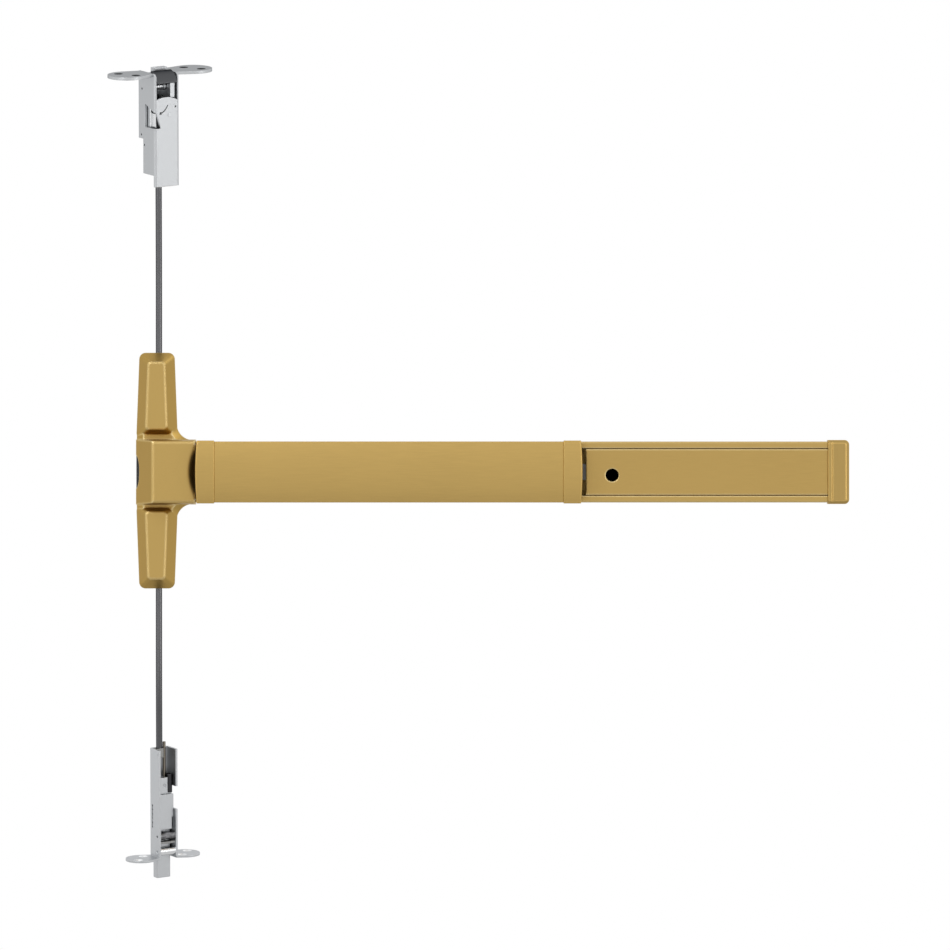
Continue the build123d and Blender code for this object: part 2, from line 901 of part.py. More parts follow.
def carrier(side):
    """One carrier at rest, with its guide rib, crank notch and wire bore."""
    with BuildPart() as block:
        with BuildSketch(Plane.XZ.offset(-cable_y - carrier_half_y)):
            with Locations(
                (
                    (carrier_left + carrier_right) / 2,
                    side * (carrier_in + carrier_out) / 2,
                )
            ):
                RectangleRounded(
                    carrier_right - carrier_left, carrier_out - carrier_in, carrier_corner_r
                )
            with Locations(
                ((carrier_notch_x + carrier_right + open_past) / 2, side * carrier_nose_z)
            ):
                Rectangle(
                    carrier_right + open_past - carrier_notch_x,
                    2 * window_half_x,
                    mode=Mode.SUBTRACT,
                )
        extrude(amount=2 * carrier_half_y)
        with BuildSketch(Plane.XZ.offset(-bracket_back - bracket_sheet / 2)):
            with Locations((0, side * (carrier_in + carrier_out) / 2)):
                Rectangle(2 * rib_half, carrier_out - carrier_in - 2 * rib_short)
        extrude(amount=bracket_back + bracket_sheet / 2 - cable_y - carrier_half_y)
        with BuildSketch(Plane.XY.offset(side * carrier_out)):
            with Locations((0, cable_y)):
                Circle(wire_r)
        extrude(amount=-side * wire_grip, mode=Mode.SUBTRACT)
    return block.part


write(carrier(1), "cable_carrier_upper")
write(carrier(-1), "cable_carrier_lower")

wire_reach = 118.0
bore_reach = 130.0
bore_r = 1.35


def carrier_wire(side):
    """The stretch of inner wire from a carrier into its conduit."""
    with BuildPart() as wire:
        with BuildSketch(Plane.XY.offset(side * (carrier_out - wire_grip))):
            with Locations((0, cable_y)):
                Circle(wire_r)
        extrude(amount=side * (wire_reach - carrier_out + wire_grip))
    return wire.part


write(carrier_wire(1), "cable_wire_upper")
write(carrier_wire(-1), "cable_wire_lower")

# Conduits: held between the cable bracket and a latch, each bent once by the latch's lean

lean = radians(latch_lean)
bend_share = 0.45


def conduit_run(side, along, past):
    """Route points from the bracket to a latch, past its end mark by this much."""
    corner = Vector(0, cable_y, side * bend_z)
    onward = Vector(0, -side * sin(lean), side * cos(lean))
    return [Vector(0, cable_y, side * conduit_start), corner, corner + onward * (along + past)]


def conduit(side, along, past, name):
    """One conduit as a tube with a bore for the wire at each end."""
    points = conduit_run(side, along, past)
    runs = [(points[1] - points[0]).length, (points[2] - points[1]).length]
    bend_r = bend_share * min(runs) / tan(lean / 2)
    print(name, "bend radius", round(bend_r, 1), "runs", [round(r, 1) for r in runs])
    with BuildPart() as tube:
        with BuildLine() as route:
            FilletPolyline(*points, radius=bend_r)
        with BuildSketch(Plane(origin=points[0], z_dir=(0, 0, side))):
            Circle(conduit_r)
        sweep()
        with BuildSketch(Plane(origin=points[0], z_dir=(0, 0, side))):
            Circle(bore_r)
        extrude(amount=bore_reach - conduit_start, mode=Mode.SUBTRACT)
        back = points[1] - points[2]
        with BuildSketch(Plane(origin=points[2], z_dir=back)):
            Circle(bore_r)
        extrude(amount=wire_in_latch, mode=Mode.SUBTRACT)
    length = sum(edge.length for edge in route.edges())
    print(name, "length", round(length, 1), "volume", round(tube.part.volume))
    return tube.part


wire_in_latch = 40.0
wire_end_gap = 3.0
top_past = 11.0
low_past = 0.0
write(conduit(1, top_along, top_past, "top conduit"), "top_cable_conduit")
write(conduit(-1, low_along, low_past, "bottom conduit"), "bottom_cable_conduit")


def case_ferrule(side):
    """The collared sleeve that holds a conduit's end in the cable bracket's leg."""
    leg_top = bracket_leg + bracket_sheet
    with BuildPart() as ferrule:
        for radius, low, high in (
            (ferrule_r, bracket_leg - ferrule_in, bracket_leg + ferrule_out),
            (ferrule_r + collar, leg_top, leg_top + 2 * collar),
        ):
            with BuildSketch(Plane.XY.offset(side * low)):
                with Locations((0, cable_y)):
                    Circle(radius)
            extrude(amount=side * (high - low))
        with BuildSketch(Plane.XY.offset(side * conduit_start)):
            with Locations((0, cable_y)):
                Circle(conduit_r)
        extrude(amount=side * (ferrule_in + ferrule_out), mode=Mode.SUBTRACT)
        with BuildSketch(Plane.XY.offset(side * (bracket_leg - ferrule_in))):
            with Locations((0, cable_y)):
                Circle(bore_r)
        extrude(amount=side * ferrule_in, mode=Mode.SUBTRACT)
    return ferrule.part


write(group(case_ferrule(side) for side in (1, -1)), "conduit_ferrules")

# Rail cover: the plate between the lips on the fixed part of the rail

cover_half = mouth_half - free_gap
cover_front = channel_depth
cover_bevel = 0.9
tongue = 2.0
tongue_half = 2.5
tongue_in = 1.0
with BuildPart() as rail_cover:
    with BuildSketch(Plane.YZ.offset(cover_start)):
        with Locations((-(cover_front - cover_sheet / 2), 0)):
            Rectangle(cover_sheet, 2 * cover_half)
        for side in (1, -1):
            with Locations(
                (
                    -(channel_depth - lip - tongue / 2),
                    side * (mouth_half - tongue_in),
                )
            ):
                Rectangle(tongue, 2 * tongue_half)
    extrude(amount=channel_end - cover_start)
    outer_edges = [
        e
        for e in rail_cover.edges().filter_by(Axis.X)
        if abs(e.center().Y + cover_front) < touch
    ]
    chamfer(outer_edges, cover_bevel)
    with BuildSketch(Plane.XZ.offset(cover_front)):
        with Locations((dog_x, dog_z)):
            Circle(dog_hole_r)
    extrude(amount=-(cover_sheet + tongue + open_past), mode=Mode.SUBTRACT)
write(rail_cover.part, "rail_cover")

# Dogging: a hexagon-socket shaft with a hook that catches the strap's tab

hook_back = strap_front + 2 * slide_gap
hook_inner = hypot(dog_x - (strap_right - strap) - link_stroke, tab_half) + free_gap
hook_outer = hook_inner + hook_wide
dog_hub_wall = 2.0
dog_hub_r = dog_shaft_r + dog_hub_wall
dog_bridge_over = 2.5
dog_bridge_depth = hook_back + hook_sheet + dog_bridge_over
dog_foot_over = 2.5
dog_foot = channel_floor + dog_foot_over
dog_head_proud = 3.0
dog_head = dog_bridge_depth + dog_bridge_sheet + dog_head_proud
hook_span = 1.6
hook_root = 1.0
socket_r = 2.2
socket_deep = 6.0
with BuildPart() as dogging_shaft:
    with BuildSketch(Plane.XZ.offset(dog_foot)):
        with Locations((dog_x, dog_z)):
            Circle(dog_shaft_r)
    extrude(amount=dog_head - dog_foot)
    with BuildSketch(Plane.XZ.offset(dog_head)):
        with Locations((dog_x, dog_z)):
            RegularPolygon(socket_r, 6)
    extrude(amount=-socket_deep, mode=Mode.SUBTRACT)
write(dogging_shaft.part, "dogging_shaft")

with BuildPart() as dogging_hook:
    with BuildSketch(Plane.XZ.offset(hook_back)):
        with Locations((dog_x, dog_z)):
            Circle(hook_outer)
            Circle(hook_inner, mode=Mode.SUBTRACT)
            with BuildSketch(mode=Mode.PRIVATE) as keep:
                with BuildLine():
                    Polyline(
                        (0, 0),
                        (-hook_outer, 2 * hook_outer),
                        (2 * hook_outer, 2 * hook_outer),
                        (hook_span * hook_outer, 0),
                        close=True,
                    )
                make_face()
            add(keep.sketch, mode=Mode.INTERSECT)
        with Locations((dog_x, dog_z)):
            Circle(dog_hub_r)
        with Locations((dog_x + (hook_outer - hook_root) / 2, dog_z + hook_sheet / 2)):
            Rectangle(hook_outer - hook_root, hook_sheet)
        with Locations((dog_x, dog_z)):
            Circle(dog_shaft_r, mode=Mode.SUBTRACT)
    extrude(amount=hook_sheet)
write(dogging_hook.part, "dogging_hook")

with BuildPart() as dogging_bracket:
    with BuildSketch(Plane.YZ.offset(dog_x - dog_bridge_half_x)):
        with Locations((-(dog_bridge_depth + dog_bridge_sheet / 2), 0)):
            Rectangle(dog_bridge_sheet, 2 * dog_bridge_half_z)
        for side in (1, -1):
            with Locations(
                (
                    -(dog_bridge_depth + channel_floor) / 2,
                    side * (dog_bridge_half_z - dog_bridge_sheet / 2),
                )
            ):
                Rectangle(dog_bridge_depth - channel_floor, dog_bridge_sheet)
            with Locations(
                (
                    -(channel_floor + dog_bridge_sheet / 2),
                    side * (dog_bridge_half_z + dog_bridge_flange / 2 - dog_bridge_sheet),
                )
            ):
                Rectangle(dog_bridge_sheet, dog_bridge_flange)
    extrude(amount=2 * dog_bridge_half_x)
    with BuildSketch(Plane.XZ.offset(channel_floor)):
        with Locations((dog_x, dog_z)):
            Circle(dog_shaft_r + run_gap)
    extrude(amount=dog_bridge_depth + dog_bridge_sheet, mode=Mode.SUBTRACT)
write(dogging_bracket.part, "dogging_bracket")

# End cap, and the bracket with two screw holes that it covers

end_cap_end = channel_end + end_cap_length
with BuildPart() as end_cap:
    with BuildSketch(Plane.XZ) as cap_outline:
        with Locations(((channel_end + end_cap_end) / 2, 0)):
            Rectangle(end_cap_length, 2 * end_cap_half)
        right_corners = cap_outline.vertices().group_by(Axis.X)[-1]
        fillet(right_corners, end_cap_corner)
    extrude(amount=end_cap_depth)
    front = end_cap.faces().sort_by(Axis.Y)[0]
    chamfer(front.edges().filter_by(lambda e: e.center().X > channel_end + touch), end_cap_bevel)
    with BuildSketch(Plane.XZ.offset(end_cap_depth)):
        with Locations((channel_end + end_cap_band + end_cap_groove / 2, 0)):
            Rectangle(end_cap_groove, 2 * end_cap_half)
    extrude(amount=-end_cap_groove, mode=Mode.SUBTRACT)
    with BuildSketch(Plane.XZ):
        hollow = end_cap_length - end_cap_wall
        with Locations((channel_end + (hollow - open_past) / 2, 0)):
            Rectangle(hollow + open_past, 2 * (end_cap_half - end_cap_wall))
    extrude(amount=end_cap_depth - end_cap_wall, mode=Mode.SUBTRACT)
write(end_cap.part, "end_cap")

end_foot_half = end_cap_half - end_cap_wall - slide_gap
end_hole_r = 2.4
end_hole_dz = 16.0
end_hole_in = 8.0
end_hole_x = channel_end + end_hole_in
end_plate_depth = end_cap_depth - end_cap_wall - slide_gap
end_plate_half = 15.0
with BuildPart() as end_cap_bracket:
    with BuildSketch(Plane.XZ):
        with Locations((channel_end + (end_cap_length - end_cap_wall) / 2, 0)):
            Rectangle(end_cap_length - end_cap_wall - 2 * free_gap, 2 * end_foot_half)
        with Locations((end_hole_x, end_hole_dz), (end_hole_x, -end_hole_dz)):
            Circle(end_hole_r, mode=Mode.SUBTRACT)
    extrude(amount=chassis_sheet)
    with BuildSketch(Plane.YZ.offset(channel_end + free_gap)):
        with Locations((-end_plate_depth / 2, 0)):
            Rectangle(end_plate_depth, 2 * end_plate_half)
    extrude(amount=chassis_sheet)
write(end_cap_bracket.part, "end_cap_bracket")

# Latch frames: where each latch's own axes lie on the door

turn = radians(latch_turn)
latch_across = Vector(cos(turn), sin(turn) * cos(lean), sin(turn) * sin(lean))
latch_up = Vector(0, -sin(lean), cos(lean))
top_mark = Vector(0, cable_y, bend_z) + latch_up * top_along
top_frame = Plane(origin=top_mark, x_dir=latch_across, z_dir=latch_up)
low_mark = Vector(0, cable_y, -bend_z) - latch_up * low_along
low_axes = Plane(origin=low_mark, x_dir=latch_across, z_dir=latch_up)
low_frame = Plane(
    origin=low_axes.from_local_coords((-low_cable[0], -low_cable[1], 0)),
    x_dir=latch_across,
    z_dir=latch_up,
)


def write_top(piece, name):
    write(piece.moved(top_frame.location), name)


def write_low(piece, name):
    write(piece.moved(low_frame.location), name)


ear_root = 1.0
ear_inside = 0.5
sink_angle = 100


def screw_ear(spots, wall_x, reach, half_width, level, sheet):
    """A rounded ear with two countersunk screw holes, its top face at this level."""
    middle = ((spots[0][0] + spots[1][0]) / 2, (spots[0][1] + spots[1][1]) / 2)
    with BuildPart() as ear:
        with BuildSketch(Plane.XY.offset(level - sheet)):
            with BuildSketch(mode=Mode.PRIVATE) as ends:
                with Locations(middle):
                    Circle(reach)
                with Locations((wall_x, 0)):
                    Rectangle(ear_root, 2 * half_width)
            make_hull(ends.edges())
        extrude(amount=sheet)
        with Locations(Plane.XY.offset(level)):
            with Locations(*spots):
                CounterSinkHole(screw_hole_r, screw_sink_r, counter_sink_angle=sink_angle)
    return ear.part


# Top latch housing: one folded sheet, with a front plate, two walls and two ears

top_inner = top_half - latch_sheet
rivet_spot = (2.5, top_plate - 14.1)
rivet_r = 1.0
rivet_head_r = 1.7
window_foot = top_plate - window_below
plate_arch = (-0.5, 1.5, -1.5)
plate_lap = 0.6
swoosh_rise = 1.6
corner_mark_r = 1.3
wall_marks = ((6.5, top_height - 15.0), (7.9, top_step + 3.3), (2.9, top_step - 5.2))
with BuildPart() as top_latch_housing:
    with BuildSketch() as channel:
        with Locations((0, (top_front + top_back) / 2)):
            Rectangle(2 * top_half, top_back - top_front)
        front_corners = channel.vertices().group_by(Axis.Y)[0]
        fillet(front_corners, top_fold_r)
        with Locations((0, (top_front + latch_sheet + top_back + open_past) / 2)):
            Rectangle(
                2 * top_inner,
                top_back + open_past - top_front - latch_sheet,
                mode=Mode.SUBTRACT,
            )
    extrude(amount=top_height)
    with BuildSketch(Plane.YZ.offset(-top_half - open_past)):
        with BuildLine():
            Polyline(
                (top_low_back, top_wall_foot),
                (top_low_back, top_step),
                (top_back + open_past, top_step),
                (top_back + open_past, -open_past),
                (top_front + latch_sheet, -open_past),
                (top_front + latch_sheet, top_wall_foot),
                (top_low_back, top_wall_foot),
            )
        make_face()
        with BuildLine():
            round_start = (top_front + wall_round_r, top_height)
            round_end = (top_front, top_height - wall_round_r)
            round_in = wall_round_r * (1 - cos(radians(45)))
            Polyline(
                round_end,
                (top_front - open_past, round_end[1]),
                (top_front - open_past, top_height + open_past),
                (round_start[0], top_height + open_past),
                round_start,
            )
            ThreePointArc(round_start, (top_front + round_in, top_height - round_in), round_end)
        make_face()
    extrude(amount=2 * (top_half + open_past), mode=Mode.SUBTRACT)
    with BuildSketch(Plane.XZ.offset(-top_front - latch_sheet - plate_lap)):
        with BuildLine():
            arch_left = (-top_inner, top_plate + plate_arch[0])
            arch_top = (0, top_plate + plate_arch[1])
            arch_right = (top_inner, top_plate + plate_arch[2])
            Polyline(
                arch_right,
                (top_inner, top_height + open_past),
                (-top_inner, top_height + open_past),
                arch_left,
            )
            ThreePointArc(arch_left, arch_top, arch_right)
        make_face()
    extrude(amount=latch_sheet + 2 * open_past, mode=Mode.SUBTRACT)
    with BuildSketch(Plane.XZ.offset(-top_front - latch_sheet)):
        front_rise = window_foot + window_front_rise
        with BuildLine():
            Polyline(
                (-top_half - open_past, window_foot),
                (window_right, window_foot),
                (window_right - window_lean, front_rise),
                (-top_half - open_past, front_rise),
                close=True,
            )
        make_face()
        with BuildLine(mode=Mode.PRIVATE) as swoosh:
            ThreePointArc(
                (window_right, front_rise),
                (window_right / 2, front_rise + swoosh_rise * slit),
                (slit / 2, window_foot + window_rise),
            )
        SlotArc(swoosh.edge(), slit)
        with Locations((window_right, front_rise)):
            Rectangle(2 * slit, 2 * slit)
        with Locations((top_inner - 2 * slit, window_foot + window_rise - 1.5 * slit)):
            RegularPolygon(corner_mark_r, 3)
        with Locations(rivet_spot):
            Circle(rivet_r)
    extrude(amount=latch_sheet + open_past, mode=Mode.SUBTRACT)
    with BuildSketch(Plane.YZ.offset(-top_half - open_past)):
        with BuildLine():
            Polyline(
                (window_back, window_foot),
                (window_back, window_foot + window_rise),
                (window_back - 2 * slit, window_foot + window_rise),
                (top_front - open_past, front_rise),
                (top_front - open_past, window_foot),
                close=True,
            )
        make_face()
        with Locations(*wall_marks):
            Circle(mark_r)
    extrude(amount=latch_sheet + open_past, mode=Mode.SUBTRACT)
    root_half = top_back - ear_root
    for spots, wall_x in ((top_left_ear, -top_half), (top_right_ear, top_half)):
        inside = ear_inside if wall_x < 0 else -ear_inside
        add(screw_ear(spots, wall_x + inside, top_ear_r, root_half, top_height, ear_thick))
write_top(top_latch_housing.part, "top_latch_housing")

with BuildPart() as top_latch_rivet:
    for radius, start, amount in (
        (rivet_r, -top_front - latch_sheet, latch_sheet),
        (rivet_head_r, -top_front, rivet_r / 2),
    ):
        with BuildSketch(Plane.XZ.offset(start)):
            with Locations(rivet_spot):
                Circle(radius)
        extrude(amount=amount)
write_top(top_latch_rivet.part, "top_latch_rivet")

# Top latch back plate, with the slot that guides the trigger's key

plate_front = top_back - latch_sheet
key_half = 2.2
trigger_low = top_height - 6.2
key_height = 4.0
back_foot = top_step + 2 * slide_gap
with BuildPart() as top_latch_back_plate:
    with BuildSketch(Plane.XZ.offset(-top_back)):
        with Locations((0, (back_foot + top_height - ear_thick) / 2)):
            Rectangle(2 * top_inner, top_height - ear_thick - back_foot)
        with Locations((0, (trigger_low - trigger_stroke - slide_gap + top_height) / 2)):
            Rectangle(
                2 * key_half,
                top_height - trigger_low + trigger_stroke + slide_gap,
                mode=Mode.SUBTRACT,
            )
    extrude(amount=latch_sheet)
write_top(top_latch_back_plate.part, "top_latch_back_plate")

# Top latch trigger: the strike presses it to let the bolt go

trigger_mid = ((trigger_left + trigger_right) / 2, (trigger_front + trigger_back) / 2)
trigger_wide = trigger_right - trigger_left
trigger_deep = trigger_back - trigger_front
trigger_rim = 1.0
key_steps = (
    (key_half + trigger_rim, plate_front - run_gap),
    (key_half - run_gap, top_back - slide_gap),
)
with BuildPart() as top_latch_trigger:
    with BuildSketch(Plane.XY.offset(trigger_low)):
        with Locations(trigger_mid):
            Rectangle(trigger_wide, trigger_deep)
    extrude(amount=top_height + trigger_proud - trigger_low)
    with BuildSketch(Plane.XY.offset(top_height + trigger_proud)):
        with Locations(trigger_mid):
            Rectangle(trigger_wide - 2 * trigger_rim, trigger_deep / 2)
    extrude(amount=-trigger_proud, mode=Mode.SUBTRACT)
    for half, back in key_steps:
        with BuildSketch(Plane.XY.offset(trigger_low)):
            with Locations((0, (trigger_back + back) / 2)):
                Rectangle(2 * half, back - trigger_back)
        extrude(amount=key_height)
write_top(top_latch_trigger.part, "top_latch_trigger")

# Top latch anchor: the cross block that holds the conduit's end

anchor_low = 10.5
anchor_high = 22.0
with BuildPart() as top_latch_anchor:
    with BuildSketch(Plane.XY.offset(anchor_low)):
        with Locations((0, (top_front + latch_sheet + top_low_back) / 2)):
            Rectangle(2 * top_inner, top_low_back - top_front - latch_sheet)
        Circle(conduit_r, mode=Mode.SUBTRACT)
    extrude(amount=top_past - anchor_low)
    with BuildSketch(Plane.XY.offset(top_past)):
        with Locations((0, (top_front + latch_sheet + top_low_back) / 2)):
            Rectangle(2 * top_inner, top_low_back - top_front - latch_sheet)
        Circle(bore_r, mode=Mode.SUBTRACT)
    extrude(amount=anchor_high - top_past)
write_top(top_latch_anchor.part, "top_latch_anchor")

# Top latch slide: pulled down by the wire, with two posts that show through the window

slide_over = 1.5
slide_low = anchor_high + latch_stroke + slide_over
slide_high = top_plate - slide_gap
slide_half = top_inner - slide_gap
slide_front = -4.0
slide_back = 3.5
slide_notch = 10.0
post = 2.4
post_pitch = 6.0
with BuildPart() as top_latch_slide:
    with BuildSketch(Plane.XY.offset(slide_low)):
        with Locations((0, (slide_front + slide_back) / 2)):
            Rectangle(2 * slide_half, slide_back - slide_front)
    extrude(amount=slide_high - slide_low)
    with BuildSketch(Plane.XZ.offset(-slide_front)):
        with Locations((0, slide_high)):
            Rectangle(slide_notch, 2 * slide_notch)
        with Locations((0, window_foot + window_rise / 2)):
            Rectangle(slide_notch, window_rise / 2)
    extrude(amount=-(slide_back - slide_front), mode=Mode.SUBTRACT)
    with BuildSketch(Plane.XY.offset(slide_low + post)):
        for x in (-slide_half + post, -slide_half + post + post_pitch):
            with Locations((x, (top_front + latch_sheet + post + slide_front) / 2)):
                Rectangle(post, slide_front - top_front - latch_sheet - post)
    extrude(amount=window_foot + window_rise / 2 - slide_low)
    with BuildSketch(Plane.XY.offset(slide_low)):
        Circle(wire_r)
    extrude(amount=wire_grip, mode=Mode.SUBTRACT)
write_top(top_latch_slide.part, "top_latch_slide")

with BuildPart() as top_latch_wire:
    with BuildSketch(Plane.XY.offset(slide_low + wire_grip)):
        Circle(wire_r)
    extrude(
        amount=-(slide_low + wire_grip - top_past + wire_in_latch - latch_stroke - wire_end_gap)
    )
write_top(top_latch_wire.part, "top_latch_wire")

# Top latch bolt: a curved nose on two cheeks that turn about a cross pin

bolt_pivot = (top_pivot_y, top_height - top_pivot_below)
pin_r = 2.0
pivot_wall = 1.6
nose_low = 162.0
nose_high = 99.0
cheek_sheet = 2.0
cheek_margin = 5.0
bolt_half = top_inner - slide_gap


def cheek(x):
    """One side of the bolt: a slice from the pin's hub to the nose."""
    inner_r = nose_outer_r - nose_sheet
    with BuildPart() as side_plate:
        with BuildSketch(Plane.YZ.offset(x)):
            with BuildLine():
                rim = CenterArc(
                    bolt_pivot,
                    inner_r + nose_sheet / 2,
                    nose_high + cheek_margin,
                    nose_low - nose_high - 2 * cheek_margin,
                )
                Line(bolt_pivot, rim @ 0)
                Line(rim @ 1, bolt_pivot)
            make_face()
            with Locations(bolt_pivot):
                Circle(pin_r + pivot_wall)
        extrude(amount=cheek_sheet)
    return side_plate.part


with BuildPart() as top_latch_bolt:
    with BuildSketch(Plane.YZ.offset(-bolt_half)):
        with BuildLine():
            outer = CenterArc(bolt_pivot, nose_outer_r, nose_high, nose_low - nose_high)
            inner = CenterArc(
                bolt_pivot, nose_outer_r - nose_sheet, nose_high, nose_low - nose_high
            )
            Line(outer @ 0, inner @ 0)
            Line(outer @ 1, inner @ 1)
        make_face()
    extrude(amount=2 * bolt_half)
    add(cheek(-bolt_half))
    add(cheek(guard_left - slide_gap - cheek_sheet))
    with BuildSketch(Plane.YZ.offset(-bolt_half)):
        with Locations(bolt_pivot):
            Circle(pin_r + run_gap)
    extrude(amount=2 * bolt_half, mode=Mode.SUBTRACT)
write_top(top_latch_bolt.part, "top_latch_bolt")

with BuildPart() as top_latch_pin:
    with BuildSketch(Plane.YZ.offset(-top_inner)):
        with Locations(bolt_pivot):
            Circle(pin_r)
    extrude(amount=2 * top_inner)
write_top(top_latch_pin.part, "top_latch_pin")

# Top latch guard: a light plate beside the bolt, on a web from the back plate

guard_low = top_plate + slide_gap
guard_high = guard_low + guard_rise
guard_sheet = 1.6
with BuildPart() as top_latch_guard:
    with BuildSketch(Plane.XY.offset(guard_low)):
        with Locations(((guard_left + guard_right) / 2, guard_face + guard_sheet / 2)):
            Rectangle(guard_right - guard_left, guard_sheet)
        with Locations((guard_left + guard_sheet / 2, (guard_face + plate_front) / 2)):
            Rectangle(guard_sheet, plate_front - guard_face)
    extrude(amount=guard_rise)
    with BuildSketch(Plane.YZ.offset(guard_left)):
        with Locations((plate_front, guard_high)):
            Rectangle(2 * (plate_front - guard_face - 2 * guard_sheet), 2 * guard_web_drop)
        with Locations(bolt_pivot):
            Circle(pin_r)
    extrude(amount=guard_sheet, mode=Mode.SUBTRACT)
write_top(top_latch_guard.part, "top_latch_guard")

# Top latch spring: close coils on the pin between the bolt's cheeks

coil_wire = 0.9
coil_r = pin_r + coil_wire
coil_count = 5
spring_left = -bolt_half + cheek_sheet + slide_gap
with BuildPart() as top_latch_spring:
    for turn_no in range(coil_count):
        x = spring_left + coil_wire / 2 + turn_no * 2 * coil_wire
        with BuildSketch(Plane.YZ.offset(x)):
            with Locations(bolt_pivot):
                Circle(coil_r + coil_wire / 2)
                Circle(pin_r, mode=Mode.SUBTRACT)
        extrude(amount=coil_wire)
    with BuildSketch(Plane.YZ.offset(spring_left)):
        with Locations(bolt_pivot):
            Circle(coil_r - coil_wire / 3)
            Circle(pin_r, mode=Mode.SUBTRACT)
    extrude(amount=2 * coil_count * coil_wire)
write_top(top_latch_spring.part, "top_latch_spring")

# Bottom latch housing: a channel open to the front, with ears at its foot

low_inner = low_half - low_sheet
low_floor = low_depth_half - low_sheet
roller_proud = 0.1
roller_spot = (-(low_depth_half - low_roller_r) - roller_proud, low_roller_above - low_height)
cam_spot = (roller_spot[0], low_cam_above - low_height)
carriage_low = low_carriage_above - low_height
axle_r = 1.2
axle_in = 0.8
slot_teeth = 6
tooth = 1.9
rod_r = 1.35
rod_y = 1.6
rod_spot = (low_cable[0] + conduit_r + rod_r + free_gap, rod_y)
vent_in = 2.0
with BuildPart() as bottom_latch_housing:
    with BuildSketch(Plane.XY.offset(-low_height)) as low_channel:
        Rectangle(2 * low_half, 2 * low_depth_half)
        back_corners = low_channel.vertices().group_by(Axis.Y)[-1]
        fillet(back_corners, low_fold_r)
        with Locations((0, (low_floor - low_depth_half - open_past) / 2)):
            Rectangle(
                2 * low_inner, low_floor + low_depth_half + open_past, mode=Mode.SUBTRACT
            )
    extrude(amount=low_height)
    with BuildSketch(Plane.YZ.offset(low_inner - open_past)):
        with Locations((-low_depth_half, -(low_cut_top + low_cut_foot) / 2)):
            RectangleRounded(2 * low_cut_deep, low_cut_foot - low_cut_top, low_cut_r)
    extrude(amount=low_sheet + 2 * open_past, mode=Mode.SUBTRACT)
    with BuildSketch(Plane.YZ.offset(-low_half - open_past)):
        for step in range(slot_teeth):
            with Locations((low_slot_y, -low_slot_top - 2 * tooth * step)):
                Circle(tooth / 2)
        with Locations((low_slot_y, -low_slot_top - tooth * (slot_teeth - 1))):
            Rectangle(tooth / 2, 2 * tooth * (slot_teeth - 1))
        with Locations((-low_depth_half + vent_in, -low_vent_below)):
            Circle(axle_r / 2)
    extrude(amount=low_sheet + 2 * open_past, mode=Mode.SUBTRACT)
    with BuildSketch(Plane.YZ.offset(-low_half - open_past)):
        with Locations(roller_spot, cam_spot):
            Circle(axle_r)
    extrude(amount=2 * (low_half + open_past), mode=Mode.SUBTRACT)
    for spots, wall_x in ((low_left_ear, -low_half), (low_right_ear, low_half)):
        inside = ear_inside if wall_x < 0 else -ear_inside
        add(screw_ear(spots, wall_x + inside, low_ear_r, low_depth_half, -low_height, low_sheet))
write_low(bottom_latch_housing.part, "bottom_latch_housing")

# Bottom latch anchor: the block that the conduit's end stands on

low_anchor_height = 8.0
with BuildPart() as bottom_latch_anchor:
    with BuildSketch(Plane.XY.offset(low_past - low_anchor_height)):
        with Locations(
            (
                (rod_spot[0] - rod_r - free_gap - low_inner) / 2,
                (low_floor + low_cable[1] - conduit_r) / 2,
            )
        ):
            Rectangle(
                rod_spot[0] - rod_r - free_gap + low_inner,
                low_floor - low_cable[1] + conduit_r,
            )
        with Locations(low_cable):
            Circle(bore_r, mode=Mode.SUBTRACT)
    extrude(amount=low_anchor_height)
write_low(bottom_latch_anchor.part, "bottom_latch_anchor")

# Bottom latch axles: the roller that guides the bolt, the deadlock cam, and a stop bar


def axle_body(spot, radius, half_width):
    """A roller along X with an axle whose ends sit in the housing's walls."""
    with BuildPart() as body:
        for size, half in ((radius, half_width), (axle_r, low_inner + axle_in)):
            with BuildSketch(Plane.YZ.offset(-half)):
                with Locations(spot):
                    Circle(size)
            extrude(amount=2 * half)
    return body.part


with BuildPart() as bottom_latch_roller:
    add(axle_body(roller_spot, low_roller_r, low_inner))
write_low(bottom_latch_roller.part, "bottom_latch_roller")

cam_coils = 4
cam_wire = 0.7
with BuildPart() as bottom_latch_cam:
    add(axle_body(cam_spot, low_cam_r, low_inner))
    for side in (1, -1):
        for turn_no in range(cam_coils):
            x = side * (low_inner - cam_wire - 2 * cam_wire * turn_no)
            with BuildSketch(Plane.YZ.offset(x - cam_wire / 2)):
                with Locations(cam_spot):
                    Circle(low_cam_r + cam_wire)
                    Circle(low_cam_r - cam_wire, mode=Mode.SUBTRACT)
            extrude(amount=cam_wire)
    with BuildSketch(Plane.YZ.offset(-low_cam_lobe / 2)):
        with Locations((cam_spot[0], cam_spot[1] + low_cam_r / 2)):
            Rectangle(2 * low_cam_r, low_cam_r + 2 * cam_wire)
    extrude(amount=low_cam_lobe)
write_low(bottom_latch_cam.part, "bottom_latch_cam")

bar_in = 1.0
with BuildPart() as bottom_latch_stop_bar:
    with BuildSketch(Plane.XY.offset(low_bar_above - low_height)):
        with Locations((0, (bolt_front - free_gap - low_depth_half + bar_in) / 2)):
            Rectangle(2 * low_inner, low_depth_half - bar_in + bolt_front - free_gap)
    extrude(amount=low_sheet)
write_low(bottom_latch_stop_bar.part, "bottom_latch_stop_bar")

# Bottom bolt with its carriage, which the wire pulls up

